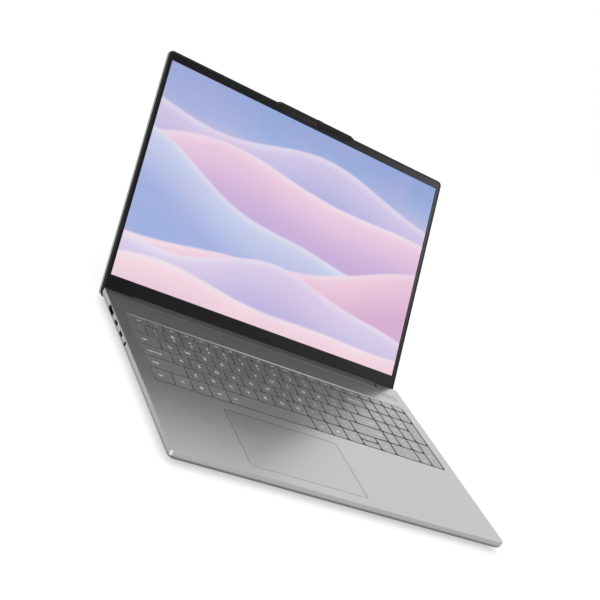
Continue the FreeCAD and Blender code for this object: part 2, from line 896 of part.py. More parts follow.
def motherboard():
    left = -half_width + board_side_gap
    board = block(left, board_right_x, board_front, board_rear, board_bottom, board_top)
    notches = [upright(x, y, 0, deck_top, screw_boss_radius + board_notch_gap) for x, y in screw_places()]
    return board.cut(notches)


def io_board():
    right = half_width - board_side_gap
    return block(right - io_board_width, right, io_board_front, io_board_rear, board_bottom, board_top)


def processor_top():
    return board_bottom - seat_gap / 2


def processor():
    return block(processor_x - processor_width / 2, processor_x + processor_width / 2,
                 processor_y - processor_depth / 2, processor_y + processor_depth / 2,
                 processor_top() - processor_height, processor_top())


def heat_pipe():
    # A flat pipe from the processor, round two bends, to the fins.
    z = processor_top() - processor_height - seat_gap / 2 - heat_pipe_thickness / 2
    fins_y = fins_front + fins_depth / 2
    turn = heat_pipe_bend
    start = vector(processor_x - heat_pipe_overhang, processor_y, z)
    first = vector(heat_pipe_turn_x - turn, processor_y, z)
    second = vector(heat_pipe_turn_x, processor_y + turn, z)
    third = vector(heat_pipe_turn_x, fins_y - turn, z)
    fourth = vector(heat_pipe_turn_x + turn, fins_y, z)
    end = vector(fan_x + fins_width / 2, fins_y, z)
    lean = turn * math.sqrt(0.5)
    first_mid = vector(heat_pipe_turn_x - turn + lean, processor_y + turn - lean, z)
    second_mid = vector(heat_pipe_turn_x + turn - lean, fins_y - turn + lean, z)
    path = Part.Wire([
        Part.LineSegment(start, first).toShape(),
        Part.Arc(first, first_mid, second).toShape(),
        Part.LineSegment(second, third).toShape(),
        Part.Arc(third, second_mid, fourth).toShape(),
        Part.LineSegment(fourth, end).toShape(),
    ])
    half = heat_pipe_width / 2
    rise = heat_pipe_thickness / 2
    corners = [vector(start.x, start.y - half, z - rise), vector(start.x, start.y + half, z - rise),
               vector(start.x, start.y + half, z + rise), vector(start.x, start.y - half, z + rise)]
    return path.makePipeShell([Part.makePolygon(corners + corners[:1])], True, True)


def heatsink_fins():
    low = processor_top() - processor_height
    x0 = fan_x - fins_width / 2
    block_shape = block(x0, x0 + fins_width, fins_front, fins_front + fins_depth, low, board_top)
    slots = []
    count = int(fins_width / fin_pitch)
    for index in range(count):
        x = x0 + (index + 0.5) * fins_width / count
        slots.append(block(x - fin_slot / 2, x + fin_slot / 2, fins_front - cut_margin,
                           fins_front + fins_depth + cut_margin, low + fins_plate, board_top - fins_plate))
    return block_shape.cut(slots)


def fan_housing():
    top = board_top
    low = floor_top + seat_gap
    half = fan_housing_size / 2
    case = rounded_block(fan_x - half, fan_x + half, fan_y - half, fan_y + half, low, top, fan_corner_radius)
    chamber = upright(fan_x, fan_y, low + fan_plate, top - fan_plate, fan_chamber_radius)
    outlet = block(fan_x - fan_chamber_radius, fan_x + fan_chamber_radius, fan_y,
                   fan_y + half + cut_margin, low + fan_plate, top - fan_plate)
    inlet = upright(fan_x, fan_y, low - cut_margin, low + fan_plate + cut_margin, fan_inlet_radius)
    axle = upright(fan_x, fan_y, low + fan_plate + fan_rotor_gap, top - fan_plate / 2, fan_axle_radius)
    return case.cut([chamber, outlet, inlet]).fuse(axle).removeSplitter()


def fan_rotor():
    low = floor_top + seat_gap + fan_plate + fan_rotor_gap
    top = board_top - fan_plate - fan_rotor_gap
    hub = upright(fan_x, fan_y, low, top, fan_hub_radius)
    blades = []
    for index in range(fan_blade_count):
        blade = block(fan_x + fan_hub_radius - fan_blade_root, fan_x + fan_rotor_radius,
                      fan_y - fan_blade_thickness / 2, fan_y + fan_blade_thickness / 2, low, top)
        blade.rotate(vector(fan_x + fan_hub_radius, fan_y, 0), vector(0, 0, 1), -fan_blade_lean)
        blade.rotate(vector(fan_x, fan_y, 0), vector(0, 0, 1), 360.0 * index / fan_blade_count)
        blades.append(blade)
    bore = upright(fan_x, fan_y, low - cut_margin, top + cut_margin, fan_axle_radius + fan_running_clearance)
    return hub.fuse(blades).cut(bore).removeSplitter()


def plug_in_card(x, y, length, width, thickness):
    # A card under the board, held by a socket at its right end.
    socket_top = board_bottom - seat_gap / 2
    card_top = socket_top - card_socket_height
    end = x + length / 2
    card = block(x - length / 2, end, y - width / 2, y + width / 2, card_top - thickness, card_top)
    socket = block(end - card_socket_length, end, y - width / 2, y + width / 2,
                   card_top - thickness / 2, socket_top)
    return joined(card, [socket])


# Battery and speakers

def battery_pack():
    frame_top = touchpad_parts()[2].BoundBox.ZMin - seat_gap
    low = floor_top + seat_gap
    half = battery_width / 2
    rear = battery_front + battery_depth
    tray = block(-half, half, battery_front, rear, low, frame_top)
    pocket = (battery_width - battery_frame * 2 - battery_cell_gap * (battery_cells - 1)) / battery_cells
    pockets = []
    cells = []
    for index in range(battery_cells):
        x = -half + battery_frame + index * (pocket + battery_cell_gap)
        pockets.append(block(x, x + pocket, battery_front + battery_frame, rear - battery_frame,
                             low + battery_tray, frame_top + cut_margin))
        cells.append(block(x + seat_gap, x + pocket - seat_gap, battery_front + battery_frame + seat_gap,
                           rear - battery_frame - seat_gap, low + battery_tray + seat_gap, frame_top))
    return Part.makeCompound([tray.cut(pockets)] + cells)


def speaker_box():
    right = half_width - speaker_side_gap
    top = deck_under - seat_gap
    return rounded_block(right - speaker_width, right, speaker_front, speaker_front + speaker_length,
                         top - speaker_height, top, foot_corner_radius)


# Hinges

def hinge_bracket():
    # Right-hand bracket: a barrel round the pin in the rear corner, and a leaf under the deck.
    inner = cutout_half_width + base_wall + hinge_bracket_gap
    barrel_radius = hinge_drop - base_wall - seat_gap
    barrel = rod(inner, inner + hinge_barrel_length, hinge_y, hinge_z, barrel_radius)
    leaf_top = hinge_z + barrel_radius
    leaf = block(inner, inner + hinge_leaf_width, hinge_y - hinge_leaf_depth, hinge_y,
                 leaf_top - hinge_leaf_thickness, leaf_top)
    bore = rod(0, half_width, hinge_y, hinge_z, hinge_pin_radius + hinge_running_clearance)
    return barrel.fuse(leaf).cut(bore).removeSplitter()


def hinge_pin():
    outer = cutout_half_width + base_wall + hinge_bracket_gap + hinge_barrel_length
    return rod(hinge_pin_inner_x, outer, hinge_y, hinge_z, hinge_pin_radius)


# Lid, drawn flat: X across, Y up the lid from the hinge axis, and depth n behind the axis towards the back

def lid_block(x0, x1, s0, s1, n0, n1):
    return block(x0, x1, s0, s1, -n1, -n0)


def lid_outline_points(inset):
    side = half_width - inset
    top = lid_top - inset
    corner = max(lid_corner_radius - inset, lid_least_corner)
    lip_top = top + lip_height
    ease = lip_height / 2
    outer = lip_half_width - inset
    inner = outer - lip_slope
    return [
        (-side, -lid_tail + inset, corner), (side, -lid_tail + inset, corner), (side, top, corner),
        (outer, top, ease), (inner, lip_top, ease), (-inner, lip_top, ease), (-outer, top, ease),
        (-side, top, corner),
    ]


def lid_prism(inset, n0, n1):
    return prism(lid_outline_points(inset), -n1, -n0)


def tail_wedge(shift):
    # Takes the lower back edge of the lid off at a slope, so that it clears the table.
    face_n = bezel_face + rim_depth + lid_tail_face
    low = vector(-half_width, -lid_tail + shift, -face_n + shift)
    high = vector(-half_width, -lid_tail + lid_tail_slope + shift, -lid_back + shift)
    corner = vector(-half_width, low.y - lid_tail_slope - tail_cut_reach, high.z - tail_cut_reach)
    beyond_low = low + (low - high)
    beyond_high = high + (high - low)
    face = Part.Face(Part.makePolygon([beyond_low, beyond_high, corner, beyond_low]))
    return face.extrude(vector(base_width, 0, 0))


def lid_back_cover():
    front_n = bezel_face + rim_depth
    outer = lid_prism(0, front_n, lid_back).cut(tail_wedge(0))
    back_edges = [edge for edge in outer.Edges if edge.BoundBox.ZMax < -lid_back + lid_edge_round / 10]
    outer = outer.makeFillet(lid_edge_round, back_edges)
    hollow = lid_prism(lid_wall, front_n - cut_margin, lid_back - lid_wall).cut(tail_wedge(lid_wall))
    notch = lid_block(shutter_knob_x - shutter_knob_length / 2 - key_clearance,
                      shutter_knob_x + shutter_knob_length / 2 + shutter_travel + key_clearance,
                      lid_top, lid_top + lip_height + cut_margin, front_n - cut_margin,
                      shutter_front() + shutter_knob_thickness + key_clearance)
    return outer.cut([hollow, notch])


def bezel_rim():
    # Soft rim round the lid's front edge, standing a little proud of the bezel.
    outer = lid_prism(rim_inset, bezel_face - rim_proud, bezel_face + rim_depth - seat_gap / 2)
    inner = lid_prism(rim_inset + rim_width, bezel_face - rim_proud - cut_margin,
                      bezel_face + rim_depth + cut_margin)
    bar_room = lid_block(-cutout_half_width, cutout_half_width, -lid_tail - cut_margin, bar_web_above,
                         0, lid_back)
    return outer.cut([inner, bar_room])


def arm_openings():
    # Where the lid brackets and the display cable pass from the hinge bar into the lid.
    reach = lid_bracket_thickness / 2 + key_clearance
    openings = []
    for x0, x1 in lid_bracket_spans() + [(cable_x - cable_width / 2, cable_x + cable_width / 2)]:
        openings.append(lid_block(x0 - key_clearance, x1 + key_clearance, lid_arm_rise - reach,
                                  lid_arm_rise + reach, -cut_margin, lid_back - lid_wall))
    return openings


def display_bezel():
    plate = lid_prism(rim_inset + rim_width + seat_gap / 2, bezel_face, bezel_back)
    side = screen_width / 2 + screen_window_gap
    window = lid_block(-side, side, screen_bottom - screen_window_gap, screen_top + screen_window_gap,
                       bezel_face - cut_margin, bezel_back + cut_margin)
    eye = upright(0, camera_s, -bezel_back - cut_margin, -bezel_face + cut_margin, camera_window_radius)
    return plate.cut([window, eye] + arm_openings())


def display_panel():
    side = screen_width / 2 + screen_border
    return lid_block(-side, side, screen_bottom - screen_lower_border, screen_top + screen_border,
                     panel_face, panel_back)


def hinge_cover():
    # A bar round the hinge axis, with a web that joins it to the lower edge of the bezel.
    x = bar_half_width
    outer_web = lid_block(-x, x, -bar_web_below, bar_web_above, 0, bezel_face - seat_gap / 2)
    outer = rod(-x, x, 0, 0, hinge_drop).fuse(outer_web)
    inside = x - bar_wall
    inner_web = lid_block(-inside, inside, bar_wall - bar_web_below, bar_web_above - bar_wall, 0, bezel_face)
    hollow = rod(-inside, inside, 0, 0, hinge_drop - bar_wall).fuse(inner_web)
    pin_hole = rod(-x - cut_margin, x + cut_margin, 0, 0, hinge_pin_radius + hinge_running_clearance)
    return outer.cut([hollow, pin_hole]).removeSplitter()


def lid_bracket_spans():
    start = hinge_pin_inner_x + seat_gap
    return [(start, start + lid_bracket_width), (-start - lid_bracket_width, -start)]


def lid_bracket():
    x0, x1 = lid_bracket_spans()[0]
    knuckle = rod(x0, x1, 0, 0, lid_knuckle_radius)
    low = lid_arm_rise - lid_bracket_thickness / 2
    back = lid_back - lid_wall - seat_gap
    arm = lid_block(x0, x1, low, low + lid_bracket_thickness, 0, back)
    leaf = lid_block(x0, x1, low, lid_bracket_length, back - lid_bracket_thickness, back)
    bore = rod(x0 - cut_margin, x1 + cut_margin, 0, 0, hinge_pin_radius + hinge_running_clearance / 2)
    return knuckle.fuse([arm, leaf]).cut(bore).removeSplitter()


def display_cable():
    x0 = cable_x - cable_width / 2
    x1 = cable_x + cable_width / 2
    near = panel_back + seat_gap
    low = lid_arm_rise - cable_thickness / 2
    arm = lid_block(x0, x1, low, low + cable_thickness, 0, near + cable_thickness)
    leaf = lid_block(x0, x1, low, cable_length, near, near + cable_thickness)
    return joined(arm, [leaf])


def antenna():
    near = bezel_face - seat_gap
    high = bar_web_above - bar_wall - seat_gap
    return lid_block(antenna_x - antenna_length / 2, antenna_x + antenna_length / 2, high - antenna_width, high,
                     near - antenna_thickness, near)


def shutter_front():
    return bezel_back + shutter_gap


def camera_shutter():
    near = shutter_front()
    far = near + shutter_thickness
    middle = shutter_travel / 2
    plate = lid_block(middle - shutter_length / 2, middle + shutter_length / 2, camera_s - shutter_width / 2,
                      camera_s + shutter_width / 2, near, far)
    knob = lid_block(shutter_knob_x - shutter_knob_length / 2, shutter_knob_x + shutter_knob_length / 2,
                     camera_s, lid_top + lip_height + shutter_knob_proud, near, near + shutter_knob_thickness)
    eye = upright(-shutter_travel, camera_s, -far - cut_margin, -near + cut_margin, camera_window_radius)
    return plate.fuse(knob).cut(eye).removeSplitter()


def camera_module():
    back = lid_back - lid_wall - seat_gap
    board = lid_block(-camera_board_length / 2, camera_board_length / 2, camera_s - camera_board_width / 2,
                      camera_s + camera_board_width / 2, back - camera_board_thickness, back)
    lens_front = shutter_front() + shutter_knob_thickness + shutter_gap * 2
    lens = upright(0, camera_s, -back, -lens_front, camera_lens_radius)
    return joined(board, [lens])


def raised(shape):
    # Turns a lid part from its flat drawing to the open position on the hinge axis.
    turned = shape.copy()
    turned.rotate(vector(0, 0, 0), vector(1, 0, 0), 180 - lid_open_angle)
    turned.translate(vector(0, hinge_y, hinge_z))
    return turned


def main():
    shell = base_shell()
    plate, board, frame = touchpad_parts()
    left = [mirrored(port(*spec)) for spec in left_ports()[:3]]
    right = [port(*spec) for spec in right_ports()]
    nodes = {
        "top_case": top_case(shell),
        "bottom_cover": bottom_cover(shell),
        "bottom_screws": bottom_screws(),
        "rubber_feet": rubber_feet(),
        "keyboard_membrane": keyboard_sheet(membrane_top, membrane_thickness),
        "keyboard_plate": keyboard_sheet(plate_top, plate_thickness),
        "touchpad_plate": plate,
        "touchpad_board": board,
        "touchpad_frame": frame,
        "power_button": power_button(),
        "power_switch_board": power_switch_board(),
        "video_port": left[0],
        "oval_data_ports": Part.makeCompound(left[1:3]),
        "audio_jack": audio_jack(),
        "wide_data_ports": Part.makeCompound(right[:2]),
        "card_slot": right[2],
        "motherboard": motherboard(),
        "io_board": io_board(),
        "processor": processor(),
        "heat_pipe": heat_pipe(),
        "heatsink_fins": heatsink_fins(),
        "fan_housing": fan_housing(),
        "fan_rotor": fan_rotor(),
        "storage_module": plug_in_card(drive_x, drive_y, drive_length, drive_width, drive_thickness),
        "wireless_card": plug_in_card(radio_x, radio_y, radio_length, radio_width, radio_thickness),
        "battery_pack": battery_pack(),
        "speakers": both_sides(speaker_box()),
        "hinge_brackets": both_sides(hinge_bracket()),
        "hinge_pins": both_sides(hinge_pin()),
    }
    nodes.update(key_nodes())
    lid = {
        "lid_back_cover": lid_back_cover(),
        "bezel_rim": bezel_rim(),
        "display_bezel": display_bezel(),
        "display_panel": display_panel(),
        "hinge_cover": hinge_cover(),
        "lid_brackets": both_sides(lid_bracket()),
        "display_cable": display_cable(),
        "antennas": both_sides(antenna()),
        "camera_module": camera_module(),
        "camera_shutter": camera_shutter(),
    }
    for name, shape in lid.items():
        nodes[name] = raised(shape)
    # The lid's top edge reaches furthest to the rear, and the feet stand at z 0.
    centre = vector(0, -nodes["lid_back_cover"].optimalBoundingBox().YMax / 2, 0)
    os.makedirs("parts", exist_ok=True)
    for name, shape in nodes.items():
        placed = shape.copy()
        placed.translate(centre)
        placed.exportStep(os.path.join("parts", name + ".step"))
    print("parts", len(nodes))
    print("front edge of the base at y", round(centre.y, 4))
    print("hinge axis at y", round(hinge_y + centre.y, 4), "z", round(hinge_z + centre.z, 4))


main()
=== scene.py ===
import json
import math

import bmesh
import bpy
from mathutils import Matrix, Vector

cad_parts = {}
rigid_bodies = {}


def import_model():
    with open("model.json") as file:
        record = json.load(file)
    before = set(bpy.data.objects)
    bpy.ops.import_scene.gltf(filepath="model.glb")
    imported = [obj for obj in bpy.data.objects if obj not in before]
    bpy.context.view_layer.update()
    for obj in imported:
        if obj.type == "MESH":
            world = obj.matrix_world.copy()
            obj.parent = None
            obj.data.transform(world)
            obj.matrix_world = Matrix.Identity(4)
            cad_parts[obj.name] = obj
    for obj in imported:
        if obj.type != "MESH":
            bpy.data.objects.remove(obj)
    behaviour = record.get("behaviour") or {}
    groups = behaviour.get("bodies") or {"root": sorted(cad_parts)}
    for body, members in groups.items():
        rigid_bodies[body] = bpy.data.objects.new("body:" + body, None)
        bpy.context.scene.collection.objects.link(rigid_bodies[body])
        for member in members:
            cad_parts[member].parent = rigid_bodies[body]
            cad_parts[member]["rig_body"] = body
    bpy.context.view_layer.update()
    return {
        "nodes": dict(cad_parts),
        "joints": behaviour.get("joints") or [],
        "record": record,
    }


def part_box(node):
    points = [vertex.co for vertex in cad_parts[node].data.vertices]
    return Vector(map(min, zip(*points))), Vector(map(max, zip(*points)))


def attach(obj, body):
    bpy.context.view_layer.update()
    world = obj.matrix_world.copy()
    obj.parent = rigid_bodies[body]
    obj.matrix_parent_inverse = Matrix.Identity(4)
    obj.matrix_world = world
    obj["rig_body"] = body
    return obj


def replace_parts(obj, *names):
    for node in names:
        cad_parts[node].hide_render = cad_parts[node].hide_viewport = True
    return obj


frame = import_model()
nodes = frame["nodes"]
scene = bpy.context.scene
mm = 0.001
print("frame loaded with", len(nodes), "nodes")


def tone(red, green, blue):  # screen values from 0 to 255 as a linear colour
    def linear(value):
        share = value / 255
        return share / 12.92 if share <= 0.04045 else ((share + 0.055) / 1.055) ** 2.4

    return (linear(red), linear(green), linear(blue), 1.0)


def addNode(tree, kind, **settings):
    node = tree.nodes.new(kind)
    for name, value in settings.items():
        setattr(node, name, value)
    return node


def join(tree, source, target):
    tree.links.new(source, target)


def setInputs(node, **values):  # words in a socket's name are written with _ between them
    for name, value in values.items():
        node.inputs[name.replace("_", " ")].default_value = value


def feed(tree, value, socket):  # a socket is joined, a plain value is set
    if isinstance(value, bpy.types.NodeSocket):
        join(tree, value, socket)
    else:
        socket.default_value = value


def calc(tree, operation, *values):  # a Math node whose inputs are sockets or plain numbers
    node = addNode(tree, "ShaderNodeMath", operation=operation)
    for value, socket in zip(values, node.inputs):
        feed(tree, value, socket)
    return node.outputs[0]


def fade(tree, value, start, end):  # 0 at start, 1 at end, eased
    node = addNode(tree, "ShaderNodeMapRange", interpolation_type="SMOOTHSTEP")
    setInputs(node, From_Min=start, From_Max=end)
    join(tree, value, node.inputs["Value"])
    return node.outputs["Result"]


def between(tree, share, low, high):  # low where the share is 0, high where it is 1
    node = addNode(tree, "ShaderNodeMapRange")
    setInputs(node, To_Min=low, To_Max=high)
    join(tree, share, node.inputs["Value"])
    return node.outputs["Result"]


def axesOf(tree, vector):  # sockets X, Y and Z
    split = addNode(tree, "ShaderNodeSeparateXYZ")
    join(tree, vector, split.inputs["Vector"])
    return split.outputs


# shared effects, each one node group
def newGroup(name, inputs, outputs):
    group = bpy.data.node_groups.new(name, "ShaderNodeTree")
    for label, kind in inputs:
        group.interface.new_socket(name=label, in_out="INPUT", socket_type=kind)
    for label, kind in outputs:
        group.interface.new_socket(name=label, in_out="OUTPUT", socket_type=kind)
    return group, addNode(group, "NodeGroupInput"), addNode(group, "NodeGroupOutput")


def noiseGroup(name, output, spread=None, **settings):
    inputs = [("Vector", "NodeSocketVector"), ("Scale", "NodeSocketFloat")]
    group, source, target = newGroup(name, inputs, [(output, "NodeSocketFloat")])
    noise = addNode(group, "ShaderNodeTexNoise")
    setInputs(noise, **settings)
    for label in ("Vector", "Scale"):
        join(group, source.outputs[label], noise.inputs[label])
    value = noise.outputs["Fac"]
    join(group, fade(group, value, *spread) if spread else value, target.inputs[output])
    return group


def makeEdgeTone():  # how far a face looks up, and where an upright corner turns
    group, source, target = newGroup(
        "edgeTone",
        [("Normal", "NodeSocketVector")],
        [("Level", "NodeSocketFloat"), ("Corner", "NodeSocketFloat")],
    )
    axes = axesOf(group, source.outputs["Normal"])
    level = calc(group, "MULTIPLY_ADD", axes["Z"], 0.5, 0.5)  # 0 looks down, 1 looks up
    turn = calc(group, "ABSOLUTE", calc(group, "MULTIPLY", axes["X"], axes["Y"]))
    join(group, level, target.inputs["Level"])
    join(group, fade(group, turn, *cornerTurn), target.inputs["Corner"])
    return group


cornerTurn = (0.38, 0.49)  # x times y of the normal, 0.5 where an upright corner has turned by half
grainDepth = 0.02 * mm
# speckle of a blasted or moulded skin, and broad handling marks that shift colour and gloss a little
fineGrain = noiseGroup("fineGrain", "Height", Detail=3.0, Roughness=0.6)
softCloud = noiseGroup("softCloud", "Mask", spread=(0.32, 0.68), Detail=4.0, Roughness=0.55, Distortion=0.4)
edgeTone = makeEdgeTone()


def mixColours(tree, factor, first, second, blend="MIX"):
    mix = addNode(tree, "ShaderNodeMix", data_type="RGBA", blend_type=blend)
    for value, index in ((factor, 0), (first, 6), (second, 7)):  # a Mix node's sockets for colours
        feed(tree, value, mix.inputs[index])
    return mix.outputs[2]


def newMaterial(name):
    mat = bpy.data.materials.new(name)
    mat.use_nodes = True
    tree = mat.node_tree
    tree.nodes.clear()
    out = addNode(tree, "ShaderNodeOutputMaterial")
    shader = addNode(tree, "ShaderNodeBsdfPrincipled")
    join(tree, shader.outputs["BSDF"], out.inputs["Surface"])
    return mat, tree, shader


def groupOn(tree, group, vector, scale):
    node = addNode(tree, "ShaderNodeGroup", node_tree=group)
    join(tree, vector, node.inputs["Vector"])
    setInputs(node, Scale=scale)
    return node


def addSkin(tree, shader, vector, look):  # gloss that drifts with the cloud, and a fine bump
    mask = groupOn(tree, softCloud, vector, look["cloud"]).outputs["Mask"]
    join(tree, between(tree, mask, *look["rough"]), shader.inputs["Roughness"])
    grain = groupOn(tree, fineGrain, vector, look["grain"])
    bump = addNode(tree, "ShaderNodeBump")
    setInputs(bump, Strength=look["bump"], Distance=grainDepth)
    join(tree, grain.outputs["Height"], bump.inputs["Height"])
    join(tree, bump.outputs["Normal"], shader.inputs["Normal"])
    return mask


def plainFinish(name, look):  # two close tones of one finish, clouded into each other
    mat, tree, shader = newMaterial(name)
    setInputs(shader, Metallic=look["metallic"], Specular_IOR_Level=look.get("specular", 0.5))
    coords = addNode(tree, "ShaderNodeTexCoord")
    mask = addSkin(tree, shader, coords.outputs["Object"], look)
    join(tree, mixColours(tree, mask, look["dark"], look["light"]), shader.inputs["Base Color"])
    return mat


def colourRamp(tree, value, stops):
    ramp = addNode(tree, "ShaderNodeValToRGB")
    while len(ramp.color_ramp.elements) < len(stops):
        ramp.color_ramp.elements.new(0.5)  # each stop is placed below
    for stop, (place, colour) in zip(ramp.color_ramp.elements, stops):
        stop.position = place
        stop.color = colour
    join(tree, value, ramp.inputs["Fac"])
    return ramp.outputs["Color"]


# the lid's flat drawing: x across, y up from the hinge axis, z out of the screen
hingeAxis = Vector(next(joint["pos_m"] for joint in frame["joints"] if joint["name"] == "lid_hinge"))
lidLean = math.radians(56.7)  # the lid's face from the floor, at rest
lidPlace = Matrix.Translation(hingeAxis) @ Matrix.Rotation(lidLean, 4, "X")
picture = {"border": 1.6 * mm, "lowerBorder": 9.0 * mm, "thickness": 0.1 * mm, "gap": 0.01 * mm, "glow": 0.9}


def boxOf(points):  # lowest and highest corner
    low = Vector(min(co[axis] for co in points) for axis in range(3))
    high = Vector(max(co[axis] for co in points) for axis in range(3))
    return low, high


def flatBox(node):  # a lid node's corners in the lid's own flat drawing
    back = lidPlace.inverted()
    return boxOf([back @ vert.co for vert in nodes[node].data.vertices])


panelLow, panelHigh = flatBox("display_panel")
screenLow = Vector((panelLow.x + picture["border"], panelLow.y + picture["lowerBorder"], panelHigh.z))
screenHigh = Vector((panelHigh.x - picture["border"], panelHigh.y - picture["border"], panelHigh.z))
screenCentre = (screenLow + screenHigh) / 2
screenHalf = (screenHigh - screenLow) / 2


def edgeHighlightMask(tree, coords, level, line):  # 1 along the deck's rear edge, in front of the hinge bar, where a highlight is painted
    axes = axesOf(tree, coords.outputs["Object"])
    rear = hingeAxis.y - line["fromHinge"]
    front = rear - line["width"]
    near = fade(tree, axes["Y"], front, front + line["soft"])
    ahead = calc(tree, "LESS_THAN", axes["Y"], rear + line["soft"])
    within = calc(tree, "LESS_THAN", calc(tree, "ABSOLUTE", axes["X"]), line["half"])
    mask = fade(tree, level, *line["flat"])
    for share in (near, ahead, within):
        mask = calc(tree, "MULTIPLY", mask, share)
    return mask


def bevelPaintedShade(tree, coords, level, tones, slope):  # painted shade on bevels that face upward, deeper towards the left
    rise = fade(tree, axesOf(tree, coords.outputs["Object"])["X"], *slope["span"])
    band = calc(tree, "MULTIPLY", fade(tree, level, *slope["above"]), fade(tree, level, *slope["below"]))
    return mixColours(tree, band, tones, mixColours(tree, rise, slope["left"], slope["right"]))


coolShift = 0.01  # less red and more blue, as a share


def coolGrey(grey):
    return (grey * (1 - coolShift), grey, grey * (1 + coolShift), 1)


def metalWithPaintedLight(name, look):  # blasted metal with painted light: painted shade on its sides and on faces that look down, painted highlights on upright corners and along the deck's rear edge, painted shade on upward bevels
    mat, tree, shader = newMaterial(name)
    setInputs(shader, Metallic=look["metallic"])
    coords = addNode(tree, "ShaderNodeTexCoord")
    mask = addSkin(tree, shader, coords.outputs["Object"], look)
    turn = addNode(tree, "ShaderNodeMapping", vector_type="VECTOR")
    setInputs(turn, Rotation=(-look["lean"], 0, 0))
    join(tree, coords.outputs["Normal"], turn.inputs["Vector"])
    edge = addNode(tree, "ShaderNodeGroup", node_tree=edgeTone)
    join(tree, turn.outputs["Vector"], edge.inputs["Normal"])
    level = edge.outputs["Level"]
    # painted shade: faces that turn to the side or look down get a deeper colour
    tones = colourRamp(tree, level, [(place, coolGrey(grey)) for place, grey in look["tones"]])
    # painted highlight: a paler colour where an upright corner turns
    corner = calc(tree, "MULTIPLY", edge.outputs["Corner"], look["cornerHighlightShare"])
    tones = mixColours(tree, corner, tones, look["corner"])
    # painted shade on upward bevels, deeper towards the left
    if "slope" in look:
        tones = bevelPaintedShade(tree, coords, level, tones, look["slope"])
    # painted highlight along the deck's rear edge
    if "line" in look:
        tones = mixColours(tree, edgeHighlightMask(tree, coords, level, look["line"]), tones, look["line"]["colour"])
    wear = calc(tree, "MULTIPLY", mask, look["wear"])
    join(tree, mixColours(tree, wear, tones, look["worn"], "MULTIPLY"), shader.inputs["Base Color"])
    return mat


# looks: light and dark are a finish's two tones, rough its gloss from dark to light,
# cloud and grain the scales of its skin
deckEdgeHighlight = {  # a painted highlight along the deck's rear edge
    "fromHinge": 7.9 * mm, "width": 2.0 * mm, "soft": 0.5 * mm, "half": 147 * mm, "flat": (0.9, 0.97),
    "colour": (0.84, 0.85, 0.86, 1),
}
bevelShadeLook = {
    "above": (0.76, 0.82), "below": (0.94, 0.90), "span": (-150 * mm, 10 * mm),
    "left": (0.225, 0.228, 0.230, 1), "right": (0.455, 0.460, 0.465, 1),
}
blastSkin = {
    "wear": 0.03, "worn": (0.5, 0.5, 0.51, 1), "metallic": 1.0,
    "rough": (0.258, 0.270), "cloud": 14, "grain": 2600, "bump": 0.015,
}
caseLook = {  # painted shade: tones run from faces that look down, darkest, to faces that look up
    "tones": [(0.0, 0.13), (0.28, 0.15), (0.46, 0.27), (0.505, 0.40),
              (0.60, 0.42), (0.86, 0.41), (0.95, 0.535), (1.0, 0.535)],
    "line": deckEdgeHighlight, "slope": bevelShadeLook, "lean": 0.0,
    # the corner colour is a painted highlight
    "corner": (0.70, 0.70, 0.70, 1), "cornerHighlightShare": 1.0, **blastSkin,
}
lidLook = {
    # painted shade on the lid's edges, where its faces turn
    "tones": [(0.0, 0.535), (0.3, 0.52), (0.45, 0.33), (0.55, 0.33), (0.7, 0.52), (1.0, 0.535)],
    # the corner colour is a painted highlight
    "lean": lidLean, "corner": (0.95, 0.95, 0.95, 1), "cornerHighlightShare": 0.7, **blastSkin,
}
padRimShade = {  # painted shade: a darker band along the touchpad's cut rim
    "node": "touchpad_plate", "radius": 2.0 * mm, "width": 0.40 * mm, "soft": 0.10 * mm,
    "colour": (0.37, 0.37, 0.375, 1),
}
flatTop = (0.8, 0.99)  # from a side to the top of a cap, as levels
touchLook = {
    "border": padRimShade,
    "light": (0.515, 0.521, 0.526, 1), "dark": (0.500, 0.506, 0.511, 1), "side": (0.012, 0.012, 0.012, 1),
    "metallic": 1.0, "sideMetallic": 0.0, "rough": (0.248, 0.257), "cloud": 20, "grain": 4000, "bump": 0.01,
}
buttonLook = {
    "light": (0.44, 0.445, 0.45, 1), "dark": (0.42, 0.425, 0.43, 1), "metallic": 1.0,
    "rough": (0.25, 0.28), "cloud": 40, "grain": 3000, "bump": 0.08,
}
keyLook = {
    "light": (0.395, 0.400, 0.405, 1), "dark": (0.375, 0.380, 0.385, 1), "side": (0.34, 0.34, 0.345, 1),
    "metallic": 0.9, "sideMetallic": 0.65, "rough": (0.31, 0.34), "cloud": 30, "grain": 3500, "bump": 0.03,
}
legendLook = {
    "light": (0.90, 0.90, 0.89, 1), "dark": (0.84, 0.84, 0.83, 1), "metallic": 0.0,
    "rough": (0.45, 0.55), "cloud": 60, "grain": 5000, "bump": 0.05,
}
bezelLook = {
    "light": (0.006, 0.006, 0.0063, 1), "dark": (0.0045, 0.0045, 0.0048, 1), "metallic": 0.0,
    "rough": (0.34, 0.37), "cloud": 16, "grain": 2200, "bump": 0.06, "specular": 0.085,
}
panelLook = {
    "foot": (0.130, 0.127, 0.138, 1), "head": (0.034, 0.033, 0.037, 1), "metallic": 0.0,
    "rough": (0.40, 0.48), "cloud": 16, "grain": 2200, "bump": 0.1, "specular": 0.2,
}
hingeLook = {
    "light": (0.068, 0.069, 0.070, 1), "dark": (0.060, 0.061, 0.062, 1), "metallic": 0.0,
    "rough": (0.44, 0.48), "cloud": 20, "grain": 2600, "bump": 0.02, "specular": 0.2,
}
rubberLook = {
    "light": (0.018, 0.018, 0.018, 1), "dark": (0.011, 0.011, 0.011, 1), "metallic": 0.0,
    "rough": (0.70, 0.82), "cloud": 40, "grain": 1800, "bump": 0.3, "specular": 0.3,
}
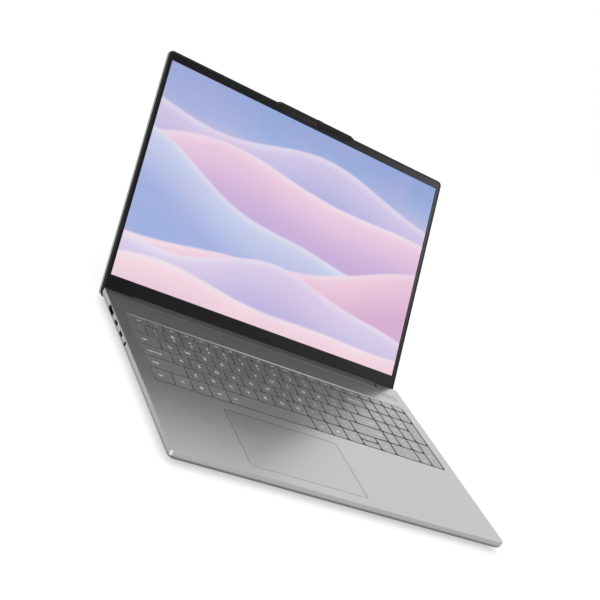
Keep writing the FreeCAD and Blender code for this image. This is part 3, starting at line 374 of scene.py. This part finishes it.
portLook = {
    "light": (0.42, 0.42, 0.43, 1), "dark": (0.34, 0.34, 0.35, 1), "metallic": 1.0,
    "rough": (0.26, 0.34), "cloud": 120, "grain": 5000, "bump": 0.08,
}
jackLook = {
    "light": (0.020, 0.020, 0.021, 1), "dark": (0.014, 0.014, 0.015, 1), "metallic": 0.0,
    "rough": (0.4, 0.5), "cloud": 90, "grain": 4000, "bump": 0.15,
}
steelLook = {
    "light": (0.50, 0.50, 0.51, 1), "dark": (0.42, 0.42, 0.43, 1), "metallic": 1.0,
    "rough": (0.28, 0.38), "cloud": 60, "grain": 3000, "bump": 0.1,
}
copperLook = {
    "light": (0.72, 0.40, 0.26, 1), "dark": (0.60, 0.30, 0.18, 1), "metallic": 1.0,
    "rough": (0.26, 0.38), "cloud": 50, "grain": 2500, "bump": 0.1,
}
finLook = {
    "light": (0.66, 0.66, 0.67, 1), "dark": (0.58, 0.58, 0.59, 1), "metallic": 1.0,
    "rough": (0.35, 0.45), "cloud": 50, "grain": 2500, "bump": 0.1,
}
wrapLook = {
    "light": (0.030, 0.030, 0.032, 1), "dark": (0.020, 0.020, 0.022, 1), "metallic": 0.0,
    "rough": (0.32, 0.42), "cloud": 25, "grain": 900, "bump": 0.2,
}
lensLook = {
    "light": (0.012, 0.013, 0.018, 1), "dark": (0.008, 0.008, 0.012, 1), "metallic": 0.0,
    "rough": (0.06, 0.10), "cloud": 200, "grain": 3000, "bump": 0.01, "specular": 0.6,
}
boardLook = {
    "mask": (0.008, 0.045, 0.030, 1), "track": (0.016, 0.085, 0.055, 1), "metallic": 0.0,
    "rough": (0.34, 0.44), "cloud": 40, "grain": 2500, "bump": 0.1,
    "tracks": 420, "trackSpread": 0.6, "trackEdge": (0.45, 0.55),
}


def boardFinish(name, look):  # green mask over paler tracks
    mat, tree, shader = newMaterial(name)
    setInputs(shader, Metallic=look["metallic"])
    coords = addNode(tree, "ShaderNodeTexCoord")
    addSkin(tree, shader, coords.outputs["Object"], look)
    tracks = addNode(tree, "ShaderNodeTexVoronoi", distance="MANHATTAN", feature="F1")
    setInputs(tracks, Scale=look["tracks"], Randomness=look["trackSpread"])
    join(tree, coords.outputs["Object"], tracks.inputs["Vector"])
    edge = addNode(tree, "ShaderNodeMapRange")
    setInputs(edge, From_Min=look["trackEdge"][0], From_Max=look["trackEdge"][1])
    join(tree, tracks.outputs["Distance"], edge.inputs["Value"])
    colour = mixColours(tree, edge.outputs["Result"], look["mask"], look["track"])
    join(tree, colour, shader.inputs["Base Color"])
    return mat


def borderMask(tree, coords, border):  # 1 along the rim of a flat piece with round corners
    low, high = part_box(border["node"])
    axes = axesOf(tree, coords.outputs["Object"])
    reach = []
    for axis in range(2):
        offset = calc(tree, "SUBTRACT", axes[axis], (low[axis] + high[axis]) / 2)
        inner = (high[axis] - low[axis]) / 2 - border["radius"]
        reach.append(calc(tree, "SUBTRACT", calc(tree, "ABSOLUTE", offset), inner))
    squares = [calc(tree, "POWER", calc(tree, "MAXIMUM", value, 0.0), 2.0) for value in reach]
    outward = calc(tree, "SQRT", calc(tree, "ADD", *squares))
    inward = calc(tree, "MINIMUM", calc(tree, "MAXIMUM", *reach), 0.0)
    start = border["radius"] - border["width"]
    return fade(tree, calc(tree, "ADD", outward, inward), start, start + border["soft"])


def topWithShadedSides(name, look):  # metallic paint on top, plainer where the piece turns down, where the sides take a darker colour as painted shade
    mat, tree, shader = newMaterial(name)
    coords = addNode(tree, "ShaderNodeTexCoord")
    mask = addSkin(tree, shader, coords.outputs["Object"], look)
    edge = addNode(tree, "ShaderNodeGroup", node_tree=edgeTone)
    join(tree, coords.outputs["Normal"], edge.inputs["Normal"])
    top = mixColours(tree, mask, look["dark"], look["light"])
    # painted shade along the rim
    if "border" in look:
        top = mixColours(tree, borderMask(tree, coords, look["border"]), top, look["border"]["colour"])
    flat = fade(tree, edge.outputs["Level"], *flatTop)
    # painted shade: the sides, where they turn down into the gaps, take the darker side colour
    join(tree, mixColours(tree, flat, look["side"], top), shader.inputs["Base Color"])
    join(tree, between(tree, flat, look["sideMetallic"], look["metallic"]), shader.inputs["Metallic"])
    return mat


def flatCoords(tree, coords):  # the lid's drawing with the screen's centre at 0 and its sides at 1
    flat = addNode(tree, "ShaderNodeMapping", vector_type="TEXTURE")
    setInputs(flat, Location=lidPlace @ screenCentre, Rotation=(lidLean, 0, 0),
              Scale=(screenHalf.x, screenHalf.x, screenHalf.x))
    join(tree, coords.outputs["Object"], flat.inputs["Vector"])
    axes = axesOf(tree, flat.outputs["Vector"])
    return flat.outputs["Vector"], axes["X"], axes["Y"]


def panelFinish(name, look):  # dark film under the picture, paler towards its foot
    mat, tree, shader = newMaterial(name)
    setInputs(shader, Metallic=look["metallic"], Specular_IOR_Level=look["specular"])
    coords = addNode(tree, "ShaderNodeTexCoord")
    addSkin(tree, shader, coords.outputs["Object"], look)
    upward = flatCoords(tree, coords)[2]
    rise = fade(tree, upward, -screenHalf.y / screenHalf.x, screenHalf.y / screenHalf.x)
    join(tree, mixColours(tree, rise, look["foot"], look["head"]), shader.inputs["Base Color"])
    return mat


caseMetal = metalWithPaintedLight("caseMetal", caseLook)
keyPaint = topWithShadedSides("keyPaint", keyLook)
legendInk = plainFinish("legendInk", legendLook)
softRubber = plainFinish("softRubber", rubberLook)
bezelPlastic = plainFinish("bezelPlastic", bezelLook)
screwSteel = plainFinish("screwSteel", steelLook)
slotFinish = {
    "case_metal": caseMetal,
    "touch_surface": topWithShadedSides("touchSurface", touchLook),
    "key_plastic": keyPaint,
    "black_plastic": bezelPlastic,
    "soft_rubber": softRubber,
    "screen": panelFinish("panelFilm", panelLook),
    "port_metal": plainFinish("portMetal", portLook),
    "jack_plastic": plainFinish("jackPlastic", jackLook),
    "spring_steel": screwSteel,
    "circuit_board": boardFinish("boardGreen", boardLook),
    "copper": plainFinish("pipeCopper", copperLook),
    "fin_metal": plainFinish("finMetal", finLook),
    "battery_wrap": plainFinish("batteryWrap", wrapLook),
}
ownFinish = {
    "power_button": plainFinish("buttonMetal", buttonLook),
    "hinge_cover": plainFinish("hingeMetal", hingeLook),
    "lid_back_cover": metalWithPaintedLight("lidMetal", lidLook),
    "camera_module": plainFinish("lensGlass", lensLook),
}
for part in frame["record"]["subparts"]:
    slots = nodes[part["node"]].data.materials
    slots.clear()
    slots.append(ownFinish.get(part["node"], slotFinish[part["material_slot"]]))


# pieces
tiny = 0.001 * mm  # corners closer than this are one corner


def meshFrom(bm, name):
    mesh = bpy.data.meshes.new(name)
    bm.to_mesh(mesh)
    bm.free()
    return mesh


def makePiece(name, bm, material, body, sharpAngle=35):  # edges over so many degrees stay sharp
    mesh = meshFrom(bm, name)
    for face in mesh.polygons:
        face.use_smooth = True
    mesh.set_sharp_from_angle(angle=math.radians(sharpAngle))
    mesh.materials.append(material)
    piece = bpy.data.objects.new(name, mesh)
    scene.collection.objects.link(piece)
    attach(piece, body)
    return piece


def vertsIn(items):
    return [item for item in items if isinstance(item, bmesh.types.BMVert)]


def drawSolid(bm, height):  # all faces are drawn up or down into a solid
    moved = vertsIn(bmesh.ops.extrude_face_region(bm, geom=list(bm.faces))["geom"])
    bmesh.ops.translate(bm, verts=moved, vec=(0, 0, height))
    bmesh.ops.recalc_face_normals(bm, faces=bm.faces)
    return moved


def roundCorners(bm, verts, radius, cuts):
    bmesh.ops.bevel(bm, geom=verts, offset=radius, affect="VERTICES", segments=cuts, profile=0.5, material=-1)


def soften(bm, edges, offset, cuts=2, clamp=False):
    bmesh.ops.bevel(bm, geom=edges, offset=offset, affect="EDGES", segments=cuts, profile=0.5,
                    material=-1, clamp_overlap=clamp)


def toLid(bm, place):  # from the lid's flat drawing to where the lid stands
    bmesh.ops.translate(bm, verts=bm.verts, vec=place)
    bmesh.ops.transform(bm, matrix=lidPlace, verts=bm.verts)


def solidBoxes(node):  # lowest and highest corner of each solid in a node, rear row first
    bm = bmesh.new()
    bm.from_mesh(nodes[node].data)
    bmesh.ops.remove_doubles(bm, verts=bm.verts, dist=tiny)
    left = set(bm.verts)
    boxes = []
    while left:
        queue = [left.pop()]
        found = []
        while queue:
            vert = queue.pop()
            found.append(vert.co.copy())
            for edge in vert.link_edges:
                other = edge.other_vert(vert)
                if other in left:
                    left.remove(other)
                    queue.append(other)
        boxes.append(boxOf(found))
    bm.free()
    return sorted(boxes, key=lambda box: (-round((box[0].y + box[1].y) / mm), box[0].x))


# key caps: an outline with a bowed front, drawn up to a softened edge and a shallow dish
keyCap = {
    "bow": 0.7 * mm, "bowCuts": 3, "rearRound": 1.1 * mm, "frontRound": 2.5 * mm, "roundCuts": 4,
    "edge": 0.08 * mm, "dish": 0.02 * mm, "dishMargin": 1.6 * mm, "skirt": 0.22 * mm, "sharpAngle": 15,
}


def keyOutline(bm, low, high):
    front = low.y + keyCap["bow"]
    corners = [(low.x, high.y), (low.x, front), (high.x, front), (high.x, high.y)]
    verts = [bm.verts.new((x, y, high.z)) for x, y in corners]
    bm.faces.new(verts)
    middle = (low.x + high.x) / 2
    half = (high.x - low.x) / 2
    frontEdge = bm.edges.get((verts[1], verts[2]))
    cut = bmesh.ops.subdivide_edges(bm, edges=[frontEdge], cuts=keyCap["bowCuts"])
    for vert in vertsIn(cut["geom_inner"]):
        vert.co.y -= keyCap["bow"] * (1 - ((vert.co.x - middle) / half) ** 2)
    for row, radius in ((front, keyCap["frontRound"]), (high.y, keyCap["rearRound"])):
        corners = [vert for vert in bm.verts if abs(vert.co.y - row) < tiny]
        roundCorners(bm, corners, radius, keyCap["roundCuts"])


def keyShape(low, high):
    bm = bmesh.new()
    keyOutline(bm, low, high)
    drawSolid(bm, low.z - high.z)
    rim = [edge for edge in bm.edges if all(vert.co.z > high.z - tiny for vert in edge.verts)]
    soften(bm, rim, keyCap["edge"], clamp=True)
    top = max(bm.faces, key=lambda face: face.calc_center_median().z)
    bmesh.ops.inset_region(bm, faces=[top], thickness=keyCap["dishMargin"], use_even_offset=True)
    bmesh.ops.translate(bm, verts=list(top.verts), vec=(0, 0, -keyCap["dish"]))
    return bm


def addMesh(bm, mesh, place=Matrix.Identity(4)):  # a finished mesh goes into a larger piece, at its place
    count = len(bm.verts)
    bm.from_mesh(mesh)
    bm.verts.ensure_lookup_table()
    bmesh.ops.transform(bm, matrix=place, verts=bm.verts[count:])
    bpy.data.meshes.remove(mesh)


keyNodes = [part["node"] for part in frame["record"]["subparts"] if part["material_slot"] == "key_plastic"]
skirt = Vector((keyCap["skirt"], keyCap["skirt"], 0))  # the paint's thickness round a cap
for node in keyNodes:
    caps = bmesh.new()
    for low, high in solidBoxes(node):
        addMesh(caps, meshFrom(keyShape(low - skirt, high + skirt), "cap"))
    body = nodes[node]["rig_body"]
    piece = makePiece("caps_" + node, caps, keyPaint, body, keyCap["sharpAngle"])
    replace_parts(piece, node)
print("key caps in", len(keyNodes), "groups")


# legends: plain letters, figures and signs, a hair above the dish of each cap
legend = {
    "letter": 5.6 * mm, "pair": 4.2 * mm, "word": 4.0 * mm, "small": 2.9 * mm, "thickness": 0.03 * mm,
    "letterPlace": 0.53, "pairPlaces": (0.32, 0.70), "padPlaces": (0.36, 0.73), "wordMargin": 4.0 * mm,
    "markRadius": 1.6 * mm, "smallMark": 0.55, "weight": 0.016, "lowKey": 12 * mm,
    "merge": 0.0005 * mm, "crossing": ("Q", "M"), "curveCuts": 2,
}
legendText = {
    "function_keys": "esc F1 F2 F3 F4 F5 F6 F7 F8 F9 F10 F11 F12 ins prt del home end pgup pgdn",
    "number_keys": "~` !1 @2 #3 $4 %5 ^6 &7 *8 (9 )0 _- +=",
    "backspace_key": "backspace",
    "tab_key": "tab",
    "top_letter_keys": "Q W E R T Y U I O P {[ }] |\\",
    "caps_lock_key": "caps_lock",
    "home_letter_keys": "A S D F G H J K L :; \"'",
    "enter_key": "enter",
    "left_shift_key": "shift",
    "bottom_letter_keys": "Z X C V B N M <, >. ?/",
    "right_shift_key": "shift",
    "left_modifier_keys": "ctrl fn diamond alt",
    "space_bar": "-o-",
    "right_modifier_keys": "alt diamond",
    "arrow_keys": "upward leftward rightward downward",
    "numpad_operator_keys": "num / * -",
    "numpad_digit_keys": "7 8 9 4 5 6 1 2 3",
    "numpad_plus_key": "+",
    "numpad_enter_key": "enter",
    "numpad_zero_keys": "0 .",
}
legendSide = {
    "tab_key": "LEFT", "caps_lock_key": "LEFT", "left_shift_key": "LEFT", "ctrl": "LEFT", "space_bar": "LEFT",
    "backspace_key": "RIGHT", "enter_key": "RIGHT", "right_shift_key": "RIGHT",
}
padWords = {
    "numpad_digit_keys": "home upward pgup leftward - rightward end downward pgdn",
    "numpad_zero_keys": "ins del",
}
legendMark = {  # sides, turn, share of the mark's radius
    "diamond": (4, 0, 1.3), "upward": (3, 0, 1), "leftward": (3, 90, 1),
    "downward": (3, 180, 1), "rightward": (3, 270, 1),
}


def textMesh(words, size, side):
    curve = bpy.data.curves.new("legend", "FONT")
    curve.body = words
    curve.size = size
    curve.align_x = side
    curve.align_y = "CENTER"
    curve.extrude = legend["thickness"]
    if words not in legend["crossing"]:  # these outlines would cross themselves if widened
        curve.offset = legend["weight"] * size
    curve.resolution_u = legend["curveCuts"]
    label = bpy.data.objects.new("legend", curve)
    scene.collection.objects.link(label)
    view = bpy.context.evaluated_depsgraph_get()
    mesh = bpy.data.meshes.new_from_object(label.evaluated_get(view))
    bpy.data.objects.remove(label)
    bpy.data.curves.remove(curve)
    return mesh


def markMesh(kind, share):  # an arrow or a plain diamond
    sides, turn, ownShare = legendMark[kind]
    bm = bmesh.new()
    bmesh.ops.create_circle(bm, cap_ends=True, segments=sides, radius=legend["markRadius"] * ownShare * share,
                            matrix=Matrix.Rotation(math.radians(turn), 4, "Z"))
    drawSolid(bm, legend["thickness"])
    return meshFrom(bm, "mark")


def addLegend(bm, words, low, high, side, second):
    depth = high.y - low.y
    middle = (low.x + high.x) / 2
    margin = legend["wordMargin"]
    across = {"LEFT": low.x + margin, "CENTER": middle, "RIGHT": high.x - margin}[side]
    letterY = high.y - depth * legend["letterPlace"]
    if words in legendMark:
        marks = [(markMesh(words, 1), middle, letterY)]
    elif second:
        upperY, lowerY = (high.y - depth * place for place in legend["padPlaces"])
        marks = [(textMesh(words, legend["pair"], "CENTER"), middle, upperY)]
        if second in legendMark:
            marks.append((markMesh(second, legend["smallMark"]), middle, lowerY))
        elif second != "-":
            marks.append((textMesh(second, legend["small"], "CENTER"), middle, lowerY))
    elif len(words) == 1:
        marks = [(textMesh(words, legend["letter"], "CENTER"), middle, letterY)]
    elif len(words) == 2 and not words.isalnum():
        marks = [(textMesh(sign, legend["pair"], "CENTER"), middle, high.y - depth * place)
                 for sign, place in zip(words, legend["pairPlaces"])]
    else:
        size = legend["word"] if depth > legend["lowKey"] else legend["small"]
        marks = [(textMesh(words.replace("_", " "), size, side), across, letterY)]
    for mesh, x, y in marks:
        addMesh(bm, mesh, Matrix.Translation((x, y, high.z - keyCap["dish"])))


for node, words in legendText.items():
    ink = bmesh.new()
    seconds = padWords.get(node, "").split()
    for index, (label, (low, high)) in enumerate(zip(words.split(), solidBoxes(node))):
        side = legendSide.get(node, legendSide.get(label, "CENTER"))
        addLegend(ink, label, low, high, side, seconds[index] if seconds else "")
    bmesh.ops.remove_doubles(ink, verts=ink.verts, dist=legend["merge"])  # text comes with its walls loose
    bmesh.ops.dissolve_degenerate(ink, edges=ink.edges, dist=legend["merge"])
    bmesh.ops.recalc_face_normals(ink, faces=ink.faces)
    makePiece("legends_" + node, ink, legendInk, nodes[node]["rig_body"])
print("legends on", len(legendText), "groups")

# caps lock light: a small window near the cap's rear right corner
capsLight = {
    "radius": 0.55 * mm, "upperRadius": 0.495 * mm, "thickness": 0.06 * mm,
    "fromRight": 4.2 * mm, "fromRear": 4.6 * mm, "segments": 20,
}


def lockLight():
    low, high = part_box("caps_lock_key")
    bm = bmesh.new()
    bmesh.ops.create_cone(bm, cap_ends=True, segments=capsLight["segments"], radius1=capsLight["radius"],
                          radius2=capsLight["upperRadius"], depth=capsLight["thickness"])
    place = (high[0] - capsLight["fromRight"], high[1] - capsLight["fromRear"], high[2] - keyCap["dish"])
    bmesh.ops.translate(bm, verts=bm.verts, vec=place)
    makePiece("caps_lock_light", bm, legendInk, nodes["caps_lock_key"]["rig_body"])


lockLight()


# rubber pieces: the solid with its hard edges rolled over
rubberEdge = {"rubber_feet": 0.45 * mm, "bezel_rim": 0.15 * mm}
rubberBody = {"rubber_feet": "base", "bezel_rim": "lid"}
rubberShape = {"merge": 0.002 * mm, "flatAngle": math.radians(3), "hardAngle": math.radians(50), "cuts": 3}


def rollEdges(node):
    bm = bmesh.new()
    bm.from_mesh(nodes[node].data)
    bmesh.ops.remove_doubles(bm, verts=bm.verts, dist=rubberShape["merge"])
    bmesh.ops.dissolve_limit(bm, angle_limit=rubberShape["flatAngle"], verts=bm.verts, edges=bm.edges)
    hard = [edge for edge in bm.edges
            if edge.is_manifold and edge.calc_face_angle() > rubberShape["hardAngle"]]
    soften(bm, hard, rubberEdge[node], rubberShape["cuts"], clamp=True)
    piece = makePiece("soft_" + node, bm, softRubber, rubberBody[node])
    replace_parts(piece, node)


for node in rubberEdge:
    rollEdges(node)
print("rubber feet and rim rolled")


# screws under the base: a flat head with a six-lobed recess, on a plain shank
screw = {
    "headHeight": 0.5 * mm, "headEdge": 0.12 * mm, "recess": 0.95 * mm, "recessDepth": 0.3 * mm,
    "lobe": 0.72, "lobeSegments": 4, "shank": 0.9 * mm, "segments": 24,
}


def drawOut(bm, face, distance):  # a face is drawn straight up or down, with walls
    end = bmesh.ops.extrude_discrete_faces(bm, faces=[face])["faces"][0]
    bmesh.ops.translate(bm, verts=list(end.verts), vec=(0, 0, distance))


def screwShape(low, high):
    radius = (high.x - low.x) / 2
    bm = bmesh.new()
    bmesh.ops.create_cone(bm, cap_ends=True, segments=screw["segments"], radius1=radius, radius2=radius,
                          depth=screw["headHeight"])
    rim = [edge for edge in bm.edges if all(vert.co.z < 0 for vert in edge.verts)]
    soften(bm, rim, screw["headEdge"])
    under = min(bm.faces, key=lambda face: face.normal.z)
    upper = max(bm.faces, key=lambda face: face.normal.z)
    bmesh.ops.inset_region(bm, faces=[upper], thickness=radius - screw["shank"])
    drawOut(bm, upper, high.z - low.z - screw["headHeight"])
    bmesh.ops.inset_region(bm, faces=[under], thickness=radius - screw["headEdge"] - screw["recess"])
    for index, vert in enumerate(under.verts):
        if index % screw["lobeSegments"] < screw["lobeSegments"] / 2:  # half of each lobe is drawn in
            vert.co.xy *= screw["lobe"]
    drawOut(bm, under, screw["recessDepth"])
    bmesh.ops.recalc_face_normals(bm, faces=bm.faces)
    foot = Vector(((low.x + high.x) / 2, (low.y + high.y) / 2, low.z + screw["headHeight"] / 2))
    bmesh.ops.translate(bm, verts=bm.verts, vec=foot)
    return bm


screws = bmesh.new()
for low, high in solidBoxes("bottom_screws"):
    addMesh(screws, meshFrom(screwShape(low, high), "screw"))
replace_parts(makePiece("cover_screws", screws, screwSteel, "base"), "bottom_screws")
print("screws under the base")


# screen picture on the lid
wallLook = {
    "sky": [(0.0, tone(188, 182, 228)), (0.4, tone(206, 200, 236)),
            (0.75, tone(160, 184, 230)), (1.0, tone(146, 172, 224))],
    "sheets": [  # height, swell, waves, phase, slope, crest, foot
        (0.40, 0.10, 2.1, 0.6, -0.10, tone(216, 208, 240), tone(172, 178, 230)),
        (0.22, 0.12, 1.7, 2.4, 0.08, tone(246, 212, 232), tone(204, 178, 226)),
        (0.02, 0.13, 2.3, 4.1, -0.06, tone(204, 218, 246), tone(164, 182, 232)),
        (-0.18, 0.10, 1.9, 5.6, 0.10, tone(248, 212, 228), tone(222, 178, 216)),
        (-0.34, 0.09, 2.6, 1.2, -0.04, tone(226, 214, 242), tone(188, 184, 232)),
        (-0.50, 0.07, 2.2, 3.3, 0.05, tone(252, 224, 232), tone(230, 194, 222)),
    ],
    "crestLight": tone(250, 244, 252), "crestDepth": 0.07, "crestShare": 0.55,
    "ripple": 0.3, "rippleWaves": 2.3, "ripplePhase": 1.7, "softness": 0.02, "shadeDepth": 0.36,
    "tint": tone(226, 186, 222), "tintShare": 0.2, "tintScale": 1.6,
    "base": (0.01, 0.01, 0.01, 1), "rough": 0.5, "specular": 0.2,
}


def wallFinish():  # sheets of soft light that roll over each other, in pale lilac, pink and blue
    mat, tree, shader = newMaterial("screenPicture")
    setInputs(shader, Base_Color=wallLook["base"], Roughness=wallLook["rough"],
              Specular_IOR_Level=wallLook["specular"], Emission_Strength=picture["glow"])
    flat, across, upward = flatCoords(tree, addNode(tree, "ShaderNodeTexCoord"))
    colour = colourRamp(tree, fade(tree, upward, 0.0, screenHalf.y / screenHalf.x), wallLook["sky"])
    for level, swell, waves, phase, slope, crest, foot in wallLook["sheets"]:
        roll = calc(tree, "SINE", calc(tree, "MULTIPLY_ADD", across, waves, phase))
        finer, later = waves * wallLook["rippleWaves"], phase * wallLook["ripplePhase"]
        ripple = calc(tree, "SINE", calc(tree, "MULTIPLY_ADD", across, finer, later))
        line = calc(tree, "MULTIPLY_ADD", roll, swell, level)
        line = calc(tree, "MULTIPLY_ADD", ripple, swell * wallLook["ripple"], line)
        line = calc(tree, "MULTIPLY_ADD", across, slope, line)
        below = calc(tree, "SUBTRACT", line, upward)
        sheet = mixColours(tree, fade(tree, below, 0.0, wallLook["shadeDepth"]), crest, foot)
        glint = calc(tree, "MULTIPLY", fade(tree, below, wallLook["crestDepth"], 0.0), wallLook["crestShare"])
        sheet = mixColours(tree, glint, sheet, wallLook["crestLight"])
        colour = mixColours(tree, fade(tree, below, 0.0, wallLook["softness"]), colour, sheet)
    drift = groupOn(tree, softCloud, flat, wallLook["tintScale"])
    blush = calc(tree, "MULTIPLY", drift.outputs["Mask"], wallLook["tintShare"])
    join(tree, mixColours(tree, blush, colour, wallLook["tint"]), shader.inputs["Emission Color"])
    return mat


def screenPicture():
    bm = bmesh.new()
    bmesh.ops.create_cube(bm, size=1)
    bmesh.ops.scale(bm, verts=bm.verts, vec=(2 * screenHalf.x, 2 * screenHalf.y, picture["thickness"]))
    rise = picture["gap"] + picture["thickness"] / 2
    toLid(bm, screenCentre + Vector((0, 0, rise)))
    piece = makePiece("screen_picture", bm, wallFinish(), "lid")
    piece.visible_glossy = False  # the satin deck mirrors the dark panel behind
    piece.visible_diffuse = False


screenPicture()
print("screen picture on the lid")


# camera eye: a red mark on the shutter
eye = {"aboveScreen": 5.3 * mm, "markRadius": 1.15 * mm, "markThickness": 0.05 * mm, "segments": 32}
markLook = {
    "light": tone(168, 44, 46), "dark": tone(140, 34, 38), "metallic": 0.0,
    "rough": (0.4, 0.5), "cloud": 200, "grain": 5000, "bump": 0.05,
}


def shutterMark():
    face = flatBox("camera_shutter")[1].z
    bm = bmesh.new()
    bmesh.ops.create_cone(bm, cap_ends=True, segments=eye["segments"], radius1=eye["markRadius"],
                          radius2=eye["markRadius"], depth=eye["markThickness"])
    toLid(bm, (0, screenHigh.y + eye["aboveScreen"], face + eye["markThickness"] / 2))
    makePiece("shutter_mark", bm, plainFinish("markRed", markLook), "camera_shutter")


# camera strip: a raised pad along the lip, with a round opening before the lens
strip = {
    "halfWidth": 47.5 * mm, "below": 2.6 * mm, "above": 3.5 * mm, "round": 2.6 * mm, "roundCuts": 6,
    "opening": 1.9 * mm, "openingCuts": 24, "thickness": 0.12 * mm, "edge": 0.05 * mm, "overlap": 0.03 * mm,
    "rimAngle": math.radians(60),
}
stripLook = {
    "light": (0.014, 0.014, 0.0145, 1), "dark": (0.010, 0.010, 0.0105, 1), "metallic": 0.0,
    "rough": (0.46, 0.52), "cloud": 30, "grain": 2600, "bump": 0.05, "specular": 0.10,
}


def cameraStrip():
    bm = bmesh.new()
    side, below, above = strip["halfWidth"], -strip["below"], strip["above"]
    corners = [(-side, below), (side, below), (side, above), (-side, above)]
    bm.faces.new([bm.verts.new((x, y, 0)) for x, y in corners])
    roundCorners(bm, list(bm.verts), strip["round"], strip["roundCuts"])
    bmesh.ops.delete(bm, geom=list(bm.faces), context="FACES_ONLY")
    bmesh.ops.create_circle(bm, cap_ends=False, segments=strip["openingCuts"], radius=strip["opening"])
    bmesh.ops.triangle_fill(bm, edges=list(bm.edges), use_beauty=True, use_dissolve=False)
    raised = drawSolid(bm, strip["thickness"] + strip["overlap"])
    rim = [edge for edge in bm.edges if all(vert in raised for vert in edge.verts)
           and edge.calc_face_angle() > strip["rimAngle"]]
    soften(bm, rim, strip["edge"])
    face = flatBox("display_bezel")[1].z - strip["overlap"]
    toLid(bm, (0, screenHigh.y + eye["aboveScreen"], face))
    makePiece("camera_strip", bm, plainFinish("stripPlastic", stripLook), "lid")


shutterMark()
cameraStrip()
print("camera eye done")


# stage: white floor, white surroundings, two soft lamps and two small ones for the sheen on the lid
stage = {
    "floorSize": 30.0, "floorLevel": -0.2 * mm, "floorColour": (0.80, 0.80, 0.80, 1), "floorRough": 0.9,
    "floorLift": 0.5, "white": (1, 1, 1, 1),
}
studio = {"world": 0.65, "seen": 1.0}  # the surroundings' strength as light, and as seen
lamps = {
    "overhead": {"place": (0.1, 0.1, 1.8), "aim": (0, 0, 0), "size": 2.0, "power": 4},
    "leftFront": {"place": (-1.6, -0.7, 0.9), "aim": (0, -0.1, 0), "size": 1.0, "power": 2},
    "rightSheen": {"place": (1.50, -0.68, 0.75), "aim": (0.1, 0.12, 0.1), "size": 0.8, "power": 20,
                   "reaches": ("camera_shutter", "hinge_cover", "camera_strip")},
    "cornerSheen": {"place": (1.36, -0.50, 1.17), "aim": (0.18, 0.17, 0.20), "size": 0.45, "power": 22,
                    "reaches": ("display_bezel", "soft_bezel_rim")},
}
photoCamera = {
    "lens": 70.2, "sensor": 36.0, "nearest": 0.01, "place": (-0.59868, -0.85985, 0.41013),
    "right": (0.79068, -0.33668, 0.51134), "up": (-0.30579, 0.50640, 0.80626),
    "back": (-0.53039, -0.79386, 0.29745),
}


def seenDirectly(tree):  # 1 for what the camera, a mirror or a pane shows
    path = addNode(tree, "ShaderNodeLightPath")
    seen = calc(tree, "MAXIMUM", path.outputs["Is Camera Ray"], path.outputs["Is Glossy Ray"])
    return calc(tree, "MAXIMUM", seen, path.outputs["Is Transmission Ray"])


def makeFloor():
    bm = bmesh.new()
    bmesh.ops.create_grid(bm, x_segments=1, y_segments=1, size=stage["floorSize"])
    bmesh.ops.translate(bm, verts=bm.verts, vec=(0, 0, stage["floorLevel"]))
    mesh = meshFrom(bm, "studio_floor")
    mat, tree, shader = newMaterial("floorWhite")
    setInputs(shader, Base_Color=stage["floorColour"], Roughness=stage["floorRough"], Specular_IOR_Level=0.0,
              Emission_Color=stage["white"])
    lift = calc(tree, "MULTIPLY", seenDirectly(tree), stage["floorLift"])
    join(tree, lift, shader.inputs["Emission Strength"])
    side = addNode(tree, "ShaderNodeNewGeometry")
    clear = addNode(tree, "ShaderNodeBsdfTransparent")
    mix = addNode(tree, "ShaderNodeMixShader")
    join(tree, side.outputs["Backfacing"], mix.inputs[0])  # clear from below, so the underside can be seen
    join(tree, shader.outputs["BSDF"], mix.inputs[1])
    join(tree, clear.outputs["BSDF"], mix.inputs[2])
    join(tree, mix.outputs["Shader"], tree.nodes["Material Output"].inputs["Surface"])
    mesh.materials.append(mat)
    floor = bpy.data.objects.new("studio_floor", mesh)
    scene.collection.objects.link(floor)


def makeWorld():
    world = bpy.data.worlds.new("studio")
    world.use_nodes = True
    tree = world.node_tree
    glow = tree.nodes["Background"]
    level = between(tree, seenDirectly(tree), studio["world"], studio["seen"])
    join(tree, level, glow.inputs["Strength"])
    setInputs(glow, Color=stage["white"])
    scene.world = world


def makeLamps():
    for name, lamp in lamps.items():
        light = bpy.data.lights.new(name, "AREA")
        light.size = lamp["size"]
        light.energy = lamp["power"]
        holder = bpy.data.objects.new(name, light)
        holder.location = lamp["place"]
        aim = Vector(lamp["aim"]) - Vector(lamp["place"])
        holder.rotation_euler = aim.to_track_quat("-Z", "Y").to_euler()
        scene.collection.objects.link(holder)
        if "reaches" in lamp:
            lit = bpy.data.collections.new(name)
            for piece in lamp["reaches"]:
                lit.objects.link(bpy.data.objects[piece])
            holder.light_linking.receiver_collection = lit
            holder.visible_diffuse = False


def makeCamera():
    lens = bpy.data.cameras.new("photoCamera")
    lens.lens = photoCamera["lens"]
    lens.sensor_width = photoCamera["sensor"]
    lens.clip_start = photoCamera["nearest"]
    camera = bpy.data.objects.new("photoCamera", lens)
    columns = [Vector(photoCamera[name]) for name in ("right", "up", "back", "place")]
    camera.matrix_world = Matrix([[column[row] for column in columns] for row in range(3)] + [[0, 0, 0, 1]])
    scene.collection.objects.link(camera)
    scene.camera = camera


makeFloor()
makeWorld()
makeLamps()
makeCamera()
scene.view_settings.view_transform = "Standard"
print("stage set")
